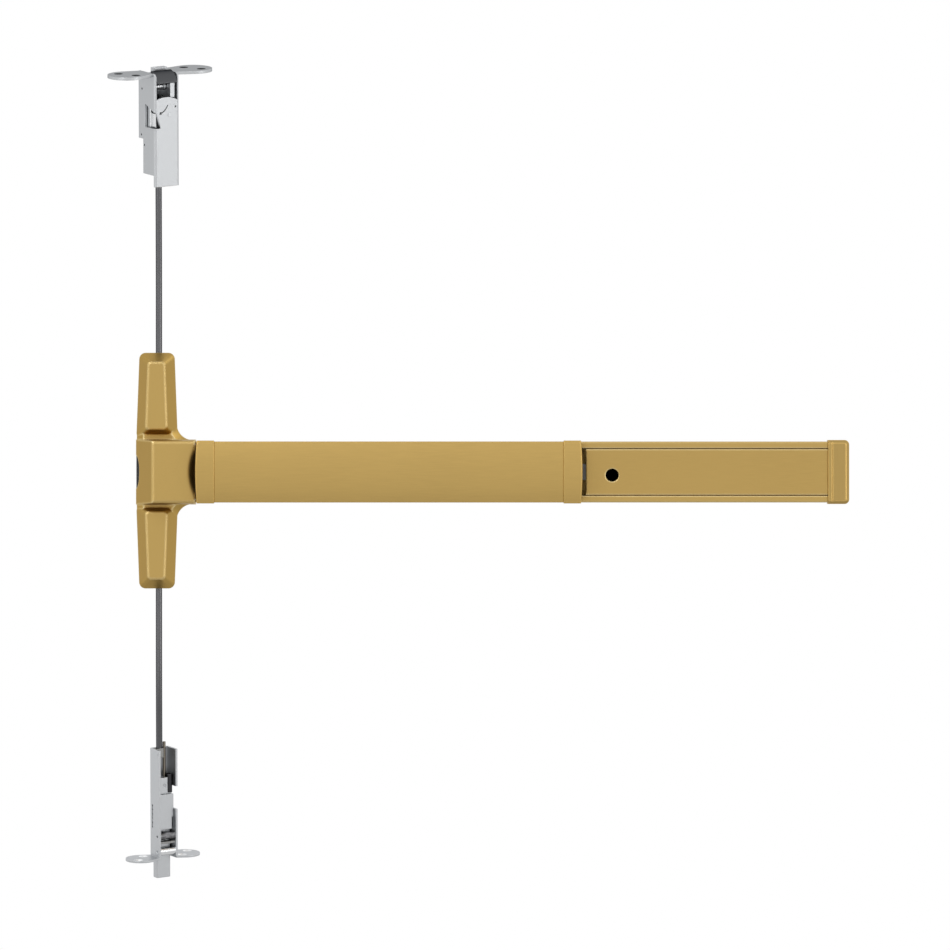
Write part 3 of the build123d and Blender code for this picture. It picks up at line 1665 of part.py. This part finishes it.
carriage_half = low_inner - slide_gap
carriage_front = -5.0
carriage_back = low_floor - slide_gap
neck_gap = 1.4
neck_deep = 3.0
pin_mark_r = 1.5
pin_mark_deep = 0.6
bolt_corner_r = 1.0
with BuildPart() as bottom_latch_bolt:
    with BuildSketch(Plane.XY.offset(-bolt_tip)):
        with Locations(((bolt_left + bolt_right) / 2, (bolt_front + bolt_back) / 2)):
            RectangleRounded(bolt_right - bolt_left, bolt_back - bolt_front, bolt_corner_r)
    extrude(amount=bolt_tip + carriage_low)
    tip_edges = bottom_latch_bolt.faces().sort_by(Axis.Z)[0].edges()
    fillet(tip_edges, bolt_round)
write_low(bottom_latch_bolt.part, "bottom_latch_bolt")

lever_spot = (carriage_half - low_lever_r, carriage_front + low_lever_r)
block_top = -low_block_top
neck_z = block_top - low_block_height
with BuildPart() as bottom_latch_carriage:
    with BuildSketch(Plane.XY.offset(carriage_low)):
        with Locations((0, (carriage_front + carriage_back) / 2)):
            Rectangle(2 * carriage_half, carriage_back - carriage_front)
    extrude(amount=block_top - carriage_low)
    with BuildSketch(Plane.XZ.offset(-carriage_front)):
        with Locations((0, neck_z - neck_gap / 2)):
            Rectangle(2 * carriage_half + open_past, neck_gap)
        with Locations((carriage_half, carriage_low)):
            Rectangle(2 * low_side_step, 2 * (neck_z - carriage_low) / 3)
    extrude(amount=-neck_deep, mode=Mode.SUBTRACT)
    with BuildSketch(Plane.XZ.offset(-carriage_front)):
        with Locations((carriage_half, block_top)):
            Rectangle(2 * (2 * low_lever_r + free_gap), 2 * (block_top - neck_z))
    extrude(amount=-(2 * low_lever_r + free_gap), mode=Mode.SUBTRACT)
    with BuildSketch(Plane.XY.offset(block_top)):
        with Locations(low_cable):
            Circle(wire_r)
    extrude(amount=-wire_grip, mode=Mode.SUBTRACT)
    with BuildSketch(Plane.XZ.offset(-carriage_front)):
        with Locations((-carriage_half / 4, (block_top + neck_z) / 2)):
            Circle(pin_mark_r)
            Circle(pin_mark_r / 2, mode=Mode.SUBTRACT)
    extrude(amount=-pin_mark_deep, mode=Mode.SUBTRACT)
write_low(bottom_latch_carriage.part, "bottom_latch_carriage")

with BuildPart() as bottom_latch_lever:
    with BuildSketch(Plane.XY.offset(neck_z)):
        with Locations(lever_spot):
            Circle(low_lever_r)
    extrude(amount=block_top - neck_z + low_lever_r)
    fillet(bottom_latch_lever.edges().sort_by(Axis.Z)[-1], low_lever_r / 3)
write_low(bottom_latch_lever.part, "bottom_latch_lever")

with BuildPart() as bottom_latch_rod:
    with BuildSketch(Plane.XY.offset(block_top)):
        with Locations(rod_spot):
            Circle(rod_r)
    extrude(amount=low_rod_top - block_top)
write_low(bottom_latch_rod.part, "bottom_latch_rod")

with BuildPart() as bottom_latch_wire:
    with BuildSketch(Plane.XY.offset(block_top - wire_grip)):
        with Locations(low_cable):
            Circle(wire_r)
    extrude(amount=wire_grip - block_top + low_past + wire_in_latch - latch_stroke - wire_end_gap)
write_low(bottom_latch_wire.part, "bottom_latch_wire")
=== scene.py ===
# Looks of the concealed vertical cable exit device: finishes, floor, light and camera.
# Metres, in the part's own frame: X along the push bar, Y into the door, Z up.

import json
import math

import bmesh
import bpy
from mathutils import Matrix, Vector

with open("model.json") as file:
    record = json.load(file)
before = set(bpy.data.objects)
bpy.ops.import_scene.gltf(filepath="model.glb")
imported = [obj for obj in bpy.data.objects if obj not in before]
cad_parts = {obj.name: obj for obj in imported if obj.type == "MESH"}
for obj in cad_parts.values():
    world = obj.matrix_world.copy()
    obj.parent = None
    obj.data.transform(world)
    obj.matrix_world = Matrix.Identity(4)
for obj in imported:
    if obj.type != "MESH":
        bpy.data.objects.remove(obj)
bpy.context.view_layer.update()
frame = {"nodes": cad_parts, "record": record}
nodes = frame["nodes"]

mm = 0.001

# Photograph: 950 x 950 pixels, seen straight on from far away
photo_px = 950
mm_per_px = 0.861
axis_px = 157.8
bar_px = 472.0
lens = 600.0
sensor = 36.0
look_depth = -0.03
far_clip = 100.0

# Studio: where its bright side lies, and its level from the dark side (0) to the bright one (1)
bright_side = (-0.25, -0.94, 0.25)
dark_level = 0.65
bright_level = 0.92

# Lamps: name, place, size across and up, and watts; all aim at the middle of the part
lamp_aim = Vector((0.25, 0.0, 0.0))
lamps = (
    ("key", (-0.9, -1.8, 1.6), (0.9, 0.9), 13.0),
    ("fill", (1.7, -1.9, 0.6), (1.4, 1.4), 4.0),
    ("back", (1.9, 1.4, 1.2), (1.4, 1.0), 5.0),
    ("left_strip", (-1.3, -1.9, 0.1), (0.25, 1.8), 3.0),
    ("right_strip", (2.3, -1.4, 0.1), (0.25, 1.8), 5.0),
)

# Floor: a disc under the part, and how bright metal sees it
floor_radius = 1.25
floor_middle = (0.24, 0.0, -0.5)
floor_sides = 96
floor_rough = 0.85
floor_cloud = 6.0
floor_glow = 0.72
floor_rgb = ((232, 232, 232), (244, 244, 244))

# Finishes, as sRGB values out of 255
brass_rgb = (184, 154, 92)
brass_rim_rgb = (208, 196, 172)
brass_cover_rgb = (180, 150, 89)
brass_cap_rgb = (172, 144, 87)
# painted highlight along the edges of the brass case and rails
brass_edge_highlight_rgb = (226, 204, 150)
latch_rgb = (196, 198, 200)
housing_rgb = (189, 191, 193)
latch_rim_rgb = (225, 226, 228)
ear_rim_rgb = (180, 181, 182)
rod_rgb = (136, 129, 118)
plated_rgb = (150, 150, 148)
bright_rgb = (222, 223, 224)
dark_rgb = (64, 64, 66)
# the top bolt painted dark grey: a painted dark reflection on its rounded nose
nose_shade_rgb = (84, 85, 87)
wire_rgb = (140, 140, 142)
jacket_rgb = (98, 98, 100)
jacket_rim_rgb = (0, 0, 0)
# black plastic, and also the painted shade that fills the dogging hole
black_and_shade_rgb = (6, 6, 7)
# painted shade in the top latch's countersinks
bore_shade_rgb = (40, 40, 42)
# painted light, as if seen through the bottom latch's countersinks
hole_light_rgb = (238, 239, 240)

# Grain: how finely the noise is drawn along each axis, and how deep it is cut
even = (1.0, 1.0, 1.0)
fine_even = (1500.0, 1500.0, 1500.0)
along_x = (60.0, 1800.0, 1800.0)
along_z = (1800.0, 1800.0, 60.0)
moulded = (700.0, 700.0, 90.0)
noise_low = 0.3
noise_high = 0.7
fine_detail = 4.0
soft_detail = 3.0
cloud_detail = 2.0
cloud_scale = 14.0
cloud_share = 0.5
grain_bump = 0.03
grain_depth = 0.2 * mm
rough_spread = 0.1
plastic_spread = 0.3

# Edges: a rounded normal's cosine to the flat where the painted edge highlight begins, and
# where it is full
highlight_begins = 0.998
highlight_full = 0.955
bevel_samples = 6
spot_fade = 0.04

# Latches: their turn and lean, and where they stand on the cables, in millimetres
latch_turn = math.radians(32.3)
latch_lean = math.radians(10.76)
cable_y = 20.0
cable_bend_z = 172.0
top_along = 78.0
low_along = 68.0
low_cable = (-2.6, 2.4)

# Spots in a latch's own x and y: the ears' countersinks, with painted shade in the top latch's
# and painted light in the bottom latch's, and a painted highlight round the top bolt's pivot,
# at its own y and z
top_ear_holes = ((-36.3, 6.2), (-27.7, -8.8), (29.5, 6.2), (38.1, -8.8))
low_ear_holes = ((-17.2, 5.6), (-28.9, -5.6), (15.5, -5.6), (27.2, 5.6))
sink_r = 3.9
pivot_highlight_y = -2.0
pivot_highlight_z = 82.0
pivot_highlight_r = 14.0


def linear(rgb):
    """An sRGB colour out of 255 as Blender's linear values, with alpha."""
    out = []
    for value in rgb:
        c = value / 255.0
        out.append(c / 12.92 if c <= 0.04045 else ((c + 0.055) / 1.055) ** 2.4)
    return (*out, 1.0)


# Materials


def new_material(name):
    """An empty node material with its Principled shader."""
    mat = bpy.data.materials.new(name)
    mat.use_nodes = True
    shader = mat.node_tree.nodes["Principled BSDF"]
    return mat, mat.node_tree, shader


def noise(tree, scale, stretch, detail=soft_detail):
    """A noise texture in object space, stretched by these factors."""
    coords = tree.nodes.new("ShaderNodeTexCoord")
    mapping = tree.nodes.new("ShaderNodeMapping")
    mapping.inputs["Scale"].default_value = stretch
    tex = tree.nodes.new("ShaderNodeTexNoise")
    tex.inputs["Scale"].default_value = scale
    tex.inputs["Detail"].default_value = detail
    tree.links.new(coords.outputs["Object"], mapping.inputs["Vector"])
    tree.links.new(mapping.outputs["Vector"], tex.inputs["Vector"])
    return tex.outputs["Fac"]


def ramp_value(tree, source, low, high):
    """Maps the middle of a noise's values to this range."""
    node = tree.nodes.new("ShaderNodeMapRange")
    node.inputs["From Min"].default_value = noise_low
    node.inputs["From Max"].default_value = noise_high
    node.inputs["To Min"].default_value = low
    node.inputs["To Max"].default_value = high
    tree.links.new(source, node.inputs["Value"])
    return node.outputs["Result"]


def tint(tree, factor, dark, light):
    """A colour between two, by a factor; each is a fixed colour or a node's output."""
    mix = tree.nodes.new("ShaderNodeMix")
    mix.data_type = "RGBA"
    for end, colour in (("A", dark), ("B", light)):
        if isinstance(colour, tuple):
            mix.inputs[end].default_value = colour
        else:
            tree.links.new(colour, mix.inputs[end])
    tree.links.new(factor, mix.inputs["Factor"])
    return mix.outputs["Result"]


def larger(tree, one, other):
    """The larger of two values."""
    node = tree.nodes.new("ShaderNodeMath")
    node.operation = "MAXIMUM"
    tree.links.new(one, node.inputs[0])
    tree.links.new(other, node.inputs[1])
    return node.outputs["Value"]


def shade(rgb, factor):
    """A colour made lighter or darker by this factor, up to white."""
    return tuple(min(255, v * factor) for v in rgb)


def rough_range(tree, grain, rough):
    """A roughness that the grain varies a little."""
    return ramp_value(tree, grain, rough * (1 - rough_spread), rough * (1 + rough_spread))


def rounded_normal(tree, radius):
    """The surface's normal, rounded off along its edges by this radius."""
    soft = tree.nodes.new("ShaderNodeBevel")
    soft.samples = bevel_samples
    soft.inputs["Radius"].default_value = radius
    return soft.outputs["Normal"]


def edge_mask(tree, rounded):
    """1 along an edge and 0 on the flats, from how far the rounded normal turns away."""
    true = tree.nodes.new("ShaderNodeNewGeometry")
    dot = tree.nodes.new("ShaderNodeVectorMath")
    dot.operation = "DOT_PRODUCT"
    tree.links.new(rounded, dot.inputs[0])
    tree.links.new(true.outputs["Normal"], dot.inputs[1])
    rise = tree.nodes.new("ShaderNodeMapRange")
    rise.inputs["From Min"].default_value = highlight_begins
    rise.inputs["From Max"].default_value = highlight_full
    tree.links.new(dot.outputs["Value"], rise.inputs["Value"])
    return rise.outputs["Result"]


def metal(name, rgb, rough, grain, vary=0.02, edge_highlight=0.1, edge=0.6, rim=None, spots=None):
    """A satin metal with a grain, its soft edges lightened by a painted highlight.

    The edge highlight is a factor on the metal's colour, or a colour of its own, and its width
    is in millimetres. The rim is the reflection's colour at a slant. The spots are places, the
    axis that they share, their radius and their colour, which is painted shade, light or
    highlight.
    """
    edge_highlight_rgb = shade(rgb, 1 + edge_highlight) if isinstance(edge_highlight, float) else edge_highlight
    mat, tree, shader = new_material(name)
    fine = noise(tree, 1.0, grain, fine_detail)
    cloud = noise(tree, cloud_scale, even, cloud_detail)
    dark, light = linear(shade(rgb, 1 - vary)), linear(shade(rgb, 1 + vary))
    streaks = tint(tree, ramp_value(tree, fine, 0.0, 1.0), dark, light)
    colour = tint(tree, ramp_value(tree, cloud, 0.0, cloud_share), streaks, light)
    rounded = rounded_normal(tree, edge * mm)
    # painted highlight: edges lightened towards the highlight colour
    colour = tint(tree, edge_mask(tree, rounded), colour, linear(edge_highlight_rgb))
    if spots:
        places, axis, radius, spot_rgb = spots
        colour = tint(tree, near_axes(tree, places, axis, radius), colour, linear(spot_rgb))
    tree.links.new(colour, shader.inputs["Base Color"])
    tree.links.new(rough_range(tree, fine, rough), shader.inputs["Roughness"])
    shader.inputs["Metallic"].default_value = 1.0
    shader.inputs["Specular Tint"].default_value = linear(rim or rgb)
    bumps = tree.nodes.new("ShaderNodeBump")
    bumps.inputs["Strength"].default_value = grain_bump
    bumps.inputs["Distance"].default_value = grain_depth
    tree.links.new(fine, bumps.inputs["Height"])
    tree.links.new(rounded, bumps.inputs["Normal"])
    tree.links.new(bumps.outputs["Normal"], shader.inputs["Normal"])
    return mat


def dark_polymer(name, rgb, rough, specular):
    """A dark plastic, also used as a black painted shade, with a faint grain."""
    mat, tree, shader = new_material(name)
    fine = noise(tree, 1.0, moulded)
    dark = linear(shade(rgb, 1 - plastic_spread))
    light = linear(shade(rgb, 1 + plastic_spread))
    colour = tint(tree, ramp_value(tree, fine, 0.0, 1.0), dark, light)
    tree.links.new(colour, shader.inputs["Base Color"])
    tree.links.new(rough_range(tree, fine, rough), shader.inputs["Roughness"])
    shader.inputs["Specular IOR Level"].default_value = specular
    return mat


def near_axes(tree, places, axis, radius):
    """1 within this radius of the lines through these places along the axis, else 0."""
    coords = tree.nodes.new("ShaderNodeTexCoord")
    inside = None
    for place in places:
        offset = tree.nodes.new("ShaderNodeVectorMath")
        offset.operation = "SUBTRACT"
        offset.inputs[1].default_value = place
        tree.links.new(coords.outputs["Object"], offset.inputs[0])
        across = tree.nodes.new("ShaderNodeVectorMath")
        across.operation = "CROSS_PRODUCT"
        across.inputs[1].default_value = axis
        tree.links.new(offset.outputs["Vector"], across.inputs[0])
        length = tree.nodes.new("ShaderNodeVectorMath")
        length.operation = "LENGTH"
        tree.links.new(across.outputs["Vector"], length.inputs[0])
        fall = tree.nodes.new("ShaderNodeMapRange")
        fall.inputs["From Min"].default_value = radius * (1 - spot_fade)
        fall.inputs["From Max"].default_value = radius * (1 + spot_fade)
        fall.inputs["To Min"].default_value = 1.0
        fall.inputs["To Max"].default_value = 0.0
        tree.links.new(length.outputs["Value"], fall.inputs["Value"])
        near = fall.outputs["Result"]
        inside = near if inside is None else larger(tree, inside, near)
    return inside


# Latch axes and the places of the ears' screw holes

latch_across = Vector(
    (
        math.cos(latch_turn),
        math.sin(latch_turn) * math.cos(latch_lean),
        math.sin(latch_turn) * math.sin(latch_lean),
    )
)
latch_up = Vector((0, -math.sin(latch_lean), math.cos(latch_lean)))
latch_back = latch_up.cross(latch_across)


def latch_point(foot, x, y, z=0.0):
    """A point in metres from a latch's own x, y and z in millimetres."""
    return foot + (latch_across * x + latch_back * y + latch_up * z) * mm


top_bend = Vector((0, cable_y, cable_bend_z)) * mm
low_bend = Vector((0, cable_y, -cable_bend_z)) * mm
top_foot = latch_point(top_bend, 0, 0, top_along)
low_foot = latch_point(low_bend, -low_cable[0], -low_cable[1], -low_along)


def ear_spots(foot, holes, rgb):
    """The countersinks of a latch's ears, painted in one colour as shade or light, as spots for
    a metal.
    """
    return ([latch_point(foot, x, y) for x, y in holes], latch_up, sink_r * mm, rgb)


# Finishes

brass = {"rgb": brass_rgb, "rim": brass_rim_rgb}
satin = {"rough": 0.36, "edge": 1.2}
rail = {"rough": 0.34, "edge": 1.8, "edge_highlight": brass_edge_highlight_rgb}
latch = {"rough": 0.4, "grain": along_z, "vary": 0.012, "edge_highlight": 0.06}

brass_bar = metal("brass_bar", grain=along_x, **brass, **satin)
brass_case = metal(
    "brass_case", grain=fine_even, rough=0.36, edge=2.6, edge_highlight=brass_edge_highlight_rgb, **brass
)
brass_caps = metal("brass_caps", grain=along_x, **brass, **satin)
brass_rail = metal("brass_rail", grain=along_x, **brass, **rail)
brass_end = metal(
    "brass_end",
    rgb=brass_cap_rgb,
    rim=brass_rim_rgb,
    rough=0.34,
    grain=along_z,
    edge_highlight=0.25,
    edge=1.6,
)
brass_plate = metal(
    "brass_plate", rgb=brass_cover_rgb, rim=brass_rim_rgb, grain=along_x, **rail
)
latch_steel = metal("latch_steel", rgb=latch_rgb, rim=latch_rim_rgb, **latch)
ear_steel = metal(
    "ear_steel",
    rgb=housing_rgb,
    rim=ear_rim_rgb,
    spots=ear_spots(top_foot, top_ear_holes, bore_shade_rgb),
    **latch,
)
low_ear_steel = metal(
    "low_ear_steel",
    rgb=latch_rgb,
    rim=latch_rim_rgb,
    spots=ear_spots(low_foot, low_ear_holes, hole_light_rgb),
    **latch,
)
plated_steel = metal(
    "plated_steel", rgb=plated_rgb, rough=0.3, grain=fine_even, vary=0.05, edge=0.4
)
bright_steel = metal(
    "bright_steel", rgb=bright_rgb, rough=0.16, grain=fine_even, edge=0.4
)
dark_steel = metal(
    "dark_steel", rgb=dark_rgb, rough=0.35, grain=fine_even, vary=0.1, edge_highlight=0.5, edge=0.3
)
# the top bolt: dark grey as a painted dark reflection, with a painted highlight round its pivot
nose_shade_and_highlight = metal(
    "nose_shade_and_highlight",
    rgb=nose_shade_rgb,
    rough=0.32,
    grain=along_x,
    vary=0.05,
    edge_highlight=0.3,
    edge=0.4,
    # painted highlight round the top bolt's pivot
    spots=(
        [latch_point(top_foot, 0, pivot_highlight_y, pivot_highlight_z)],
        latch_across,
        pivot_highlight_r * mm,
        bright_rgb,
    ),
)
wire_steel = metal("wire_steel", rgb=wire_rgb, rough=0.3, grain=along_z, edge=0.2)
rod_steel = metal("rod_steel", rgb=rod_rgb, rough=0.3, grain=along_z, edge=0.2)
cable_jacket = metal(
    "cable_jacket",
    rgb=jacket_rgb,
    rim=jacket_rim_rgb,
    rough=0.22,
    grain=along_z,
    edge_highlight=0.0,
    edge=0.1,
)
black_plastic = dark_polymer("black_plastic", black_and_shade_rgb, rough=0.6, specular=0.1)
# painted shade: black with no reflection, for the dogging parts seen in the hole
hole_shade_black = dark_polymer("hole_shade_black", black_and_shade_rgb, rough=0.6, specular=0.0)

by_slot = {
    "satin_brass": brass_case,
    "latch_steel": latch_steel,
    "plated_steel": plated_steel,
    "dark_steel": dark_steel,
    "cast_bolt": latch_steel,
    "black_plastic": black_plastic,
    "wire": wire_steel,
    "conduit": cable_jacket,
}
by_node = {
    "push_bar": brass_bar,
    "mechanism_case": brass_rail,
    "end_cap": brass_end,
    "push_bar_end_cap_left": brass_caps,
    "push_bar_end_cap_right": brass_caps,
    "rail_cover": brass_plate,
    "top_latch_housing": ear_steel,
    "top_latch_bolt": nose_shade_and_highlight,
    "top_latch_spring": bright_steel,
    "top_latch_pin": bright_steel,
    "top_latch_back_plate": bright_steel,
    "top_latch_slide": bright_steel,
    "bottom_latch_housing": low_ear_steel,
    "bottom_latch_rod": rod_steel,
    "bottom_latch_cam": wire_steel,
    "bottom_latch_roller": bright_steel,
    # the dogging parts are black as painted shade in the dogging hole
    "dogging_shaft": hole_shade_black,
    "dogging_hook": hole_shade_black,
    "dogging_bracket": hole_shade_black,
}


def dress(obj, mat):
    """Gives an object this one material."""
    obj.data.materials.clear()
    obj.data.materials.append(mat)


slot_of = {row["node"]: row["material_slot"] for row in frame["record"]["subparts"]}
for node_name, node_obj in nodes.items():
    dress(node_obj, by_node.get(node_name, by_slot[slot_of[node_name]]))

# Floor, world and lamps


def stage_floor():
    """The pale floor disc; metal sees it as an even pale glow."""
    mesh = bpy.data.meshes.new("floor")
    shape = bmesh.new()
    bmesh.ops.create_circle(
        shape, cap_ends=True, segments=floor_sides, radius=floor_radius
    )
    shape.to_mesh(mesh)
    shape.free()
    floor = bpy.data.objects.new("floor", mesh)
    floor.location = floor_middle
    bpy.context.scene.collection.objects.link(floor)
    mat, tree, shader = new_material("floor_paint")
    soft = noise(tree, floor_cloud, even)
    colour = tint(tree, soft, *(linear(rgb) for rgb in floor_rgb))
    tree.links.new(colour, shader.inputs["Base Color"])
    shader.inputs["Roughness"].default_value = floor_rough
    path = tree.nodes.new("ShaderNodeLightPath")
    pale = tree.nodes.new("ShaderNodeEmission")
    pale.inputs["Strength"].default_value = floor_glow
    mix = tree.nodes.new("ShaderNodeMixShader")
    tree.links.new(path.outputs["Is Glossy Ray"], mix.inputs["Fac"])
    tree.links.new(shader.outputs["BSDF"], mix.inputs[1])
    tree.links.new(pale.outputs["Emission"], mix.inputs[2])
    tree.links.new(mix.outputs["Shader"], tree.nodes["Material Output"].inputs["Surface"])
    dress(floor, mat)


def studio_world():
    """White to the eye and in reflections; its diffuse light is brighter on one side."""
    world = bpy.data.worlds.new("studio")
    bpy.context.scene.world = world
    world.use_nodes = True
    tree = world.node_tree
    tree.nodes.clear()
    coords = tree.nodes.new("ShaderNodeTexCoord")
    towards = tree.nodes.new("ShaderNodeVectorMath")
    towards.operation = "DOT_PRODUCT"
    towards.inputs[1].default_value = Vector(bright_side).normalized()
    tree.links.new(coords.outputs["Generated"], towards.inputs[0])
    ramp = tree.nodes.new("ShaderNodeValToRGB")
    stops = ramp.color_ramp
    stops.interpolation = "EASE"
    for stop, level in zip(stops.elements, (dark_level, bright_level)):
        stop.color = (level, level, level, 1)
    spread = tree.nodes.new("ShaderNodeMapRange")
    spread.inputs["From Min"].default_value = -1.0
    spread.inputs["From Max"].default_value = 1.0
    tree.links.new(towards.outputs["Value"], spread.inputs["Value"])
    tree.links.new(spread.outputs["Result"], ramp.inputs["Fac"])
    soft = tree.nodes.new("ShaderNodeBackground")
    tree.links.new(ramp.outputs["Color"], soft.inputs["Color"])
    white = tree.nodes.new("ShaderNodeBackground")
    white.inputs["Color"].default_value = (1, 1, 1, 1)
    white.inputs["Strength"].default_value = 1.0
    path = tree.nodes.new("ShaderNodeLightPath")
    direct = larger(tree, path.outputs["Is Camera Ray"], path.outputs["Is Transmission Ray"])
    seen = larger(tree, direct, path.outputs["Is Glossy Ray"])
    mix = tree.nodes.new("ShaderNodeMixShader")
    out = tree.nodes.new("ShaderNodeOutputWorld")
    tree.links.new(seen, mix.inputs["Fac"])
    tree.links.new(soft.outputs["Background"], mix.inputs[1])
    tree.links.new(white.outputs["Background"], mix.inputs[2])
    tree.links.new(mix.outputs["Shader"], out.inputs["Surface"])


def area_lamp(name, place, size, power):
    """A rectangular lamp aimed at the part, unseen by the camera."""
    data = bpy.data.lights.new(name, "AREA")
    data.shape = "RECTANGLE"
    data.size, data.size_y = size
    data.energy = power
    obj = bpy.data.objects.new(name, data)
    obj.location = place
    obj.rotation_euler = (lamp_aim - Vector(place)).to_track_quat("-Z", "Y").to_euler()
    obj.visible_camera = False
    bpy.context.scene.collection.objects.link(obj)


stage_floor()
studio_world()
for lamp in lamps:
    area_lamp(*lamp)

# Camera


def photo_camera():
    """A long lens straight in front, with the photograph's frame."""
    data = bpy.data.cameras.new("photo_camera")
    data.lens = lens
    data.sensor_width = sensor
    cam = bpy.data.objects.new("photo_camera", data)
    width = photo_px * mm_per_px * mm
    distance = width * lens / sensor
    middle = photo_px / 2
    cam.location = (
        (middle - axis_px) * mm_per_px * mm,
        look_depth - distance,
        (bar_px - middle) * mm_per_px * mm,
    )
    cam.rotation_euler = (math.pi / 2, 0, 0)
    data.clip_end = far_clip
    bpy.context.scene.collection.objects.link(cam)
    bpy.context.scene.camera = cam


photo_camera()
bpy.context.scene.view_settings.view_transform = "Standard"
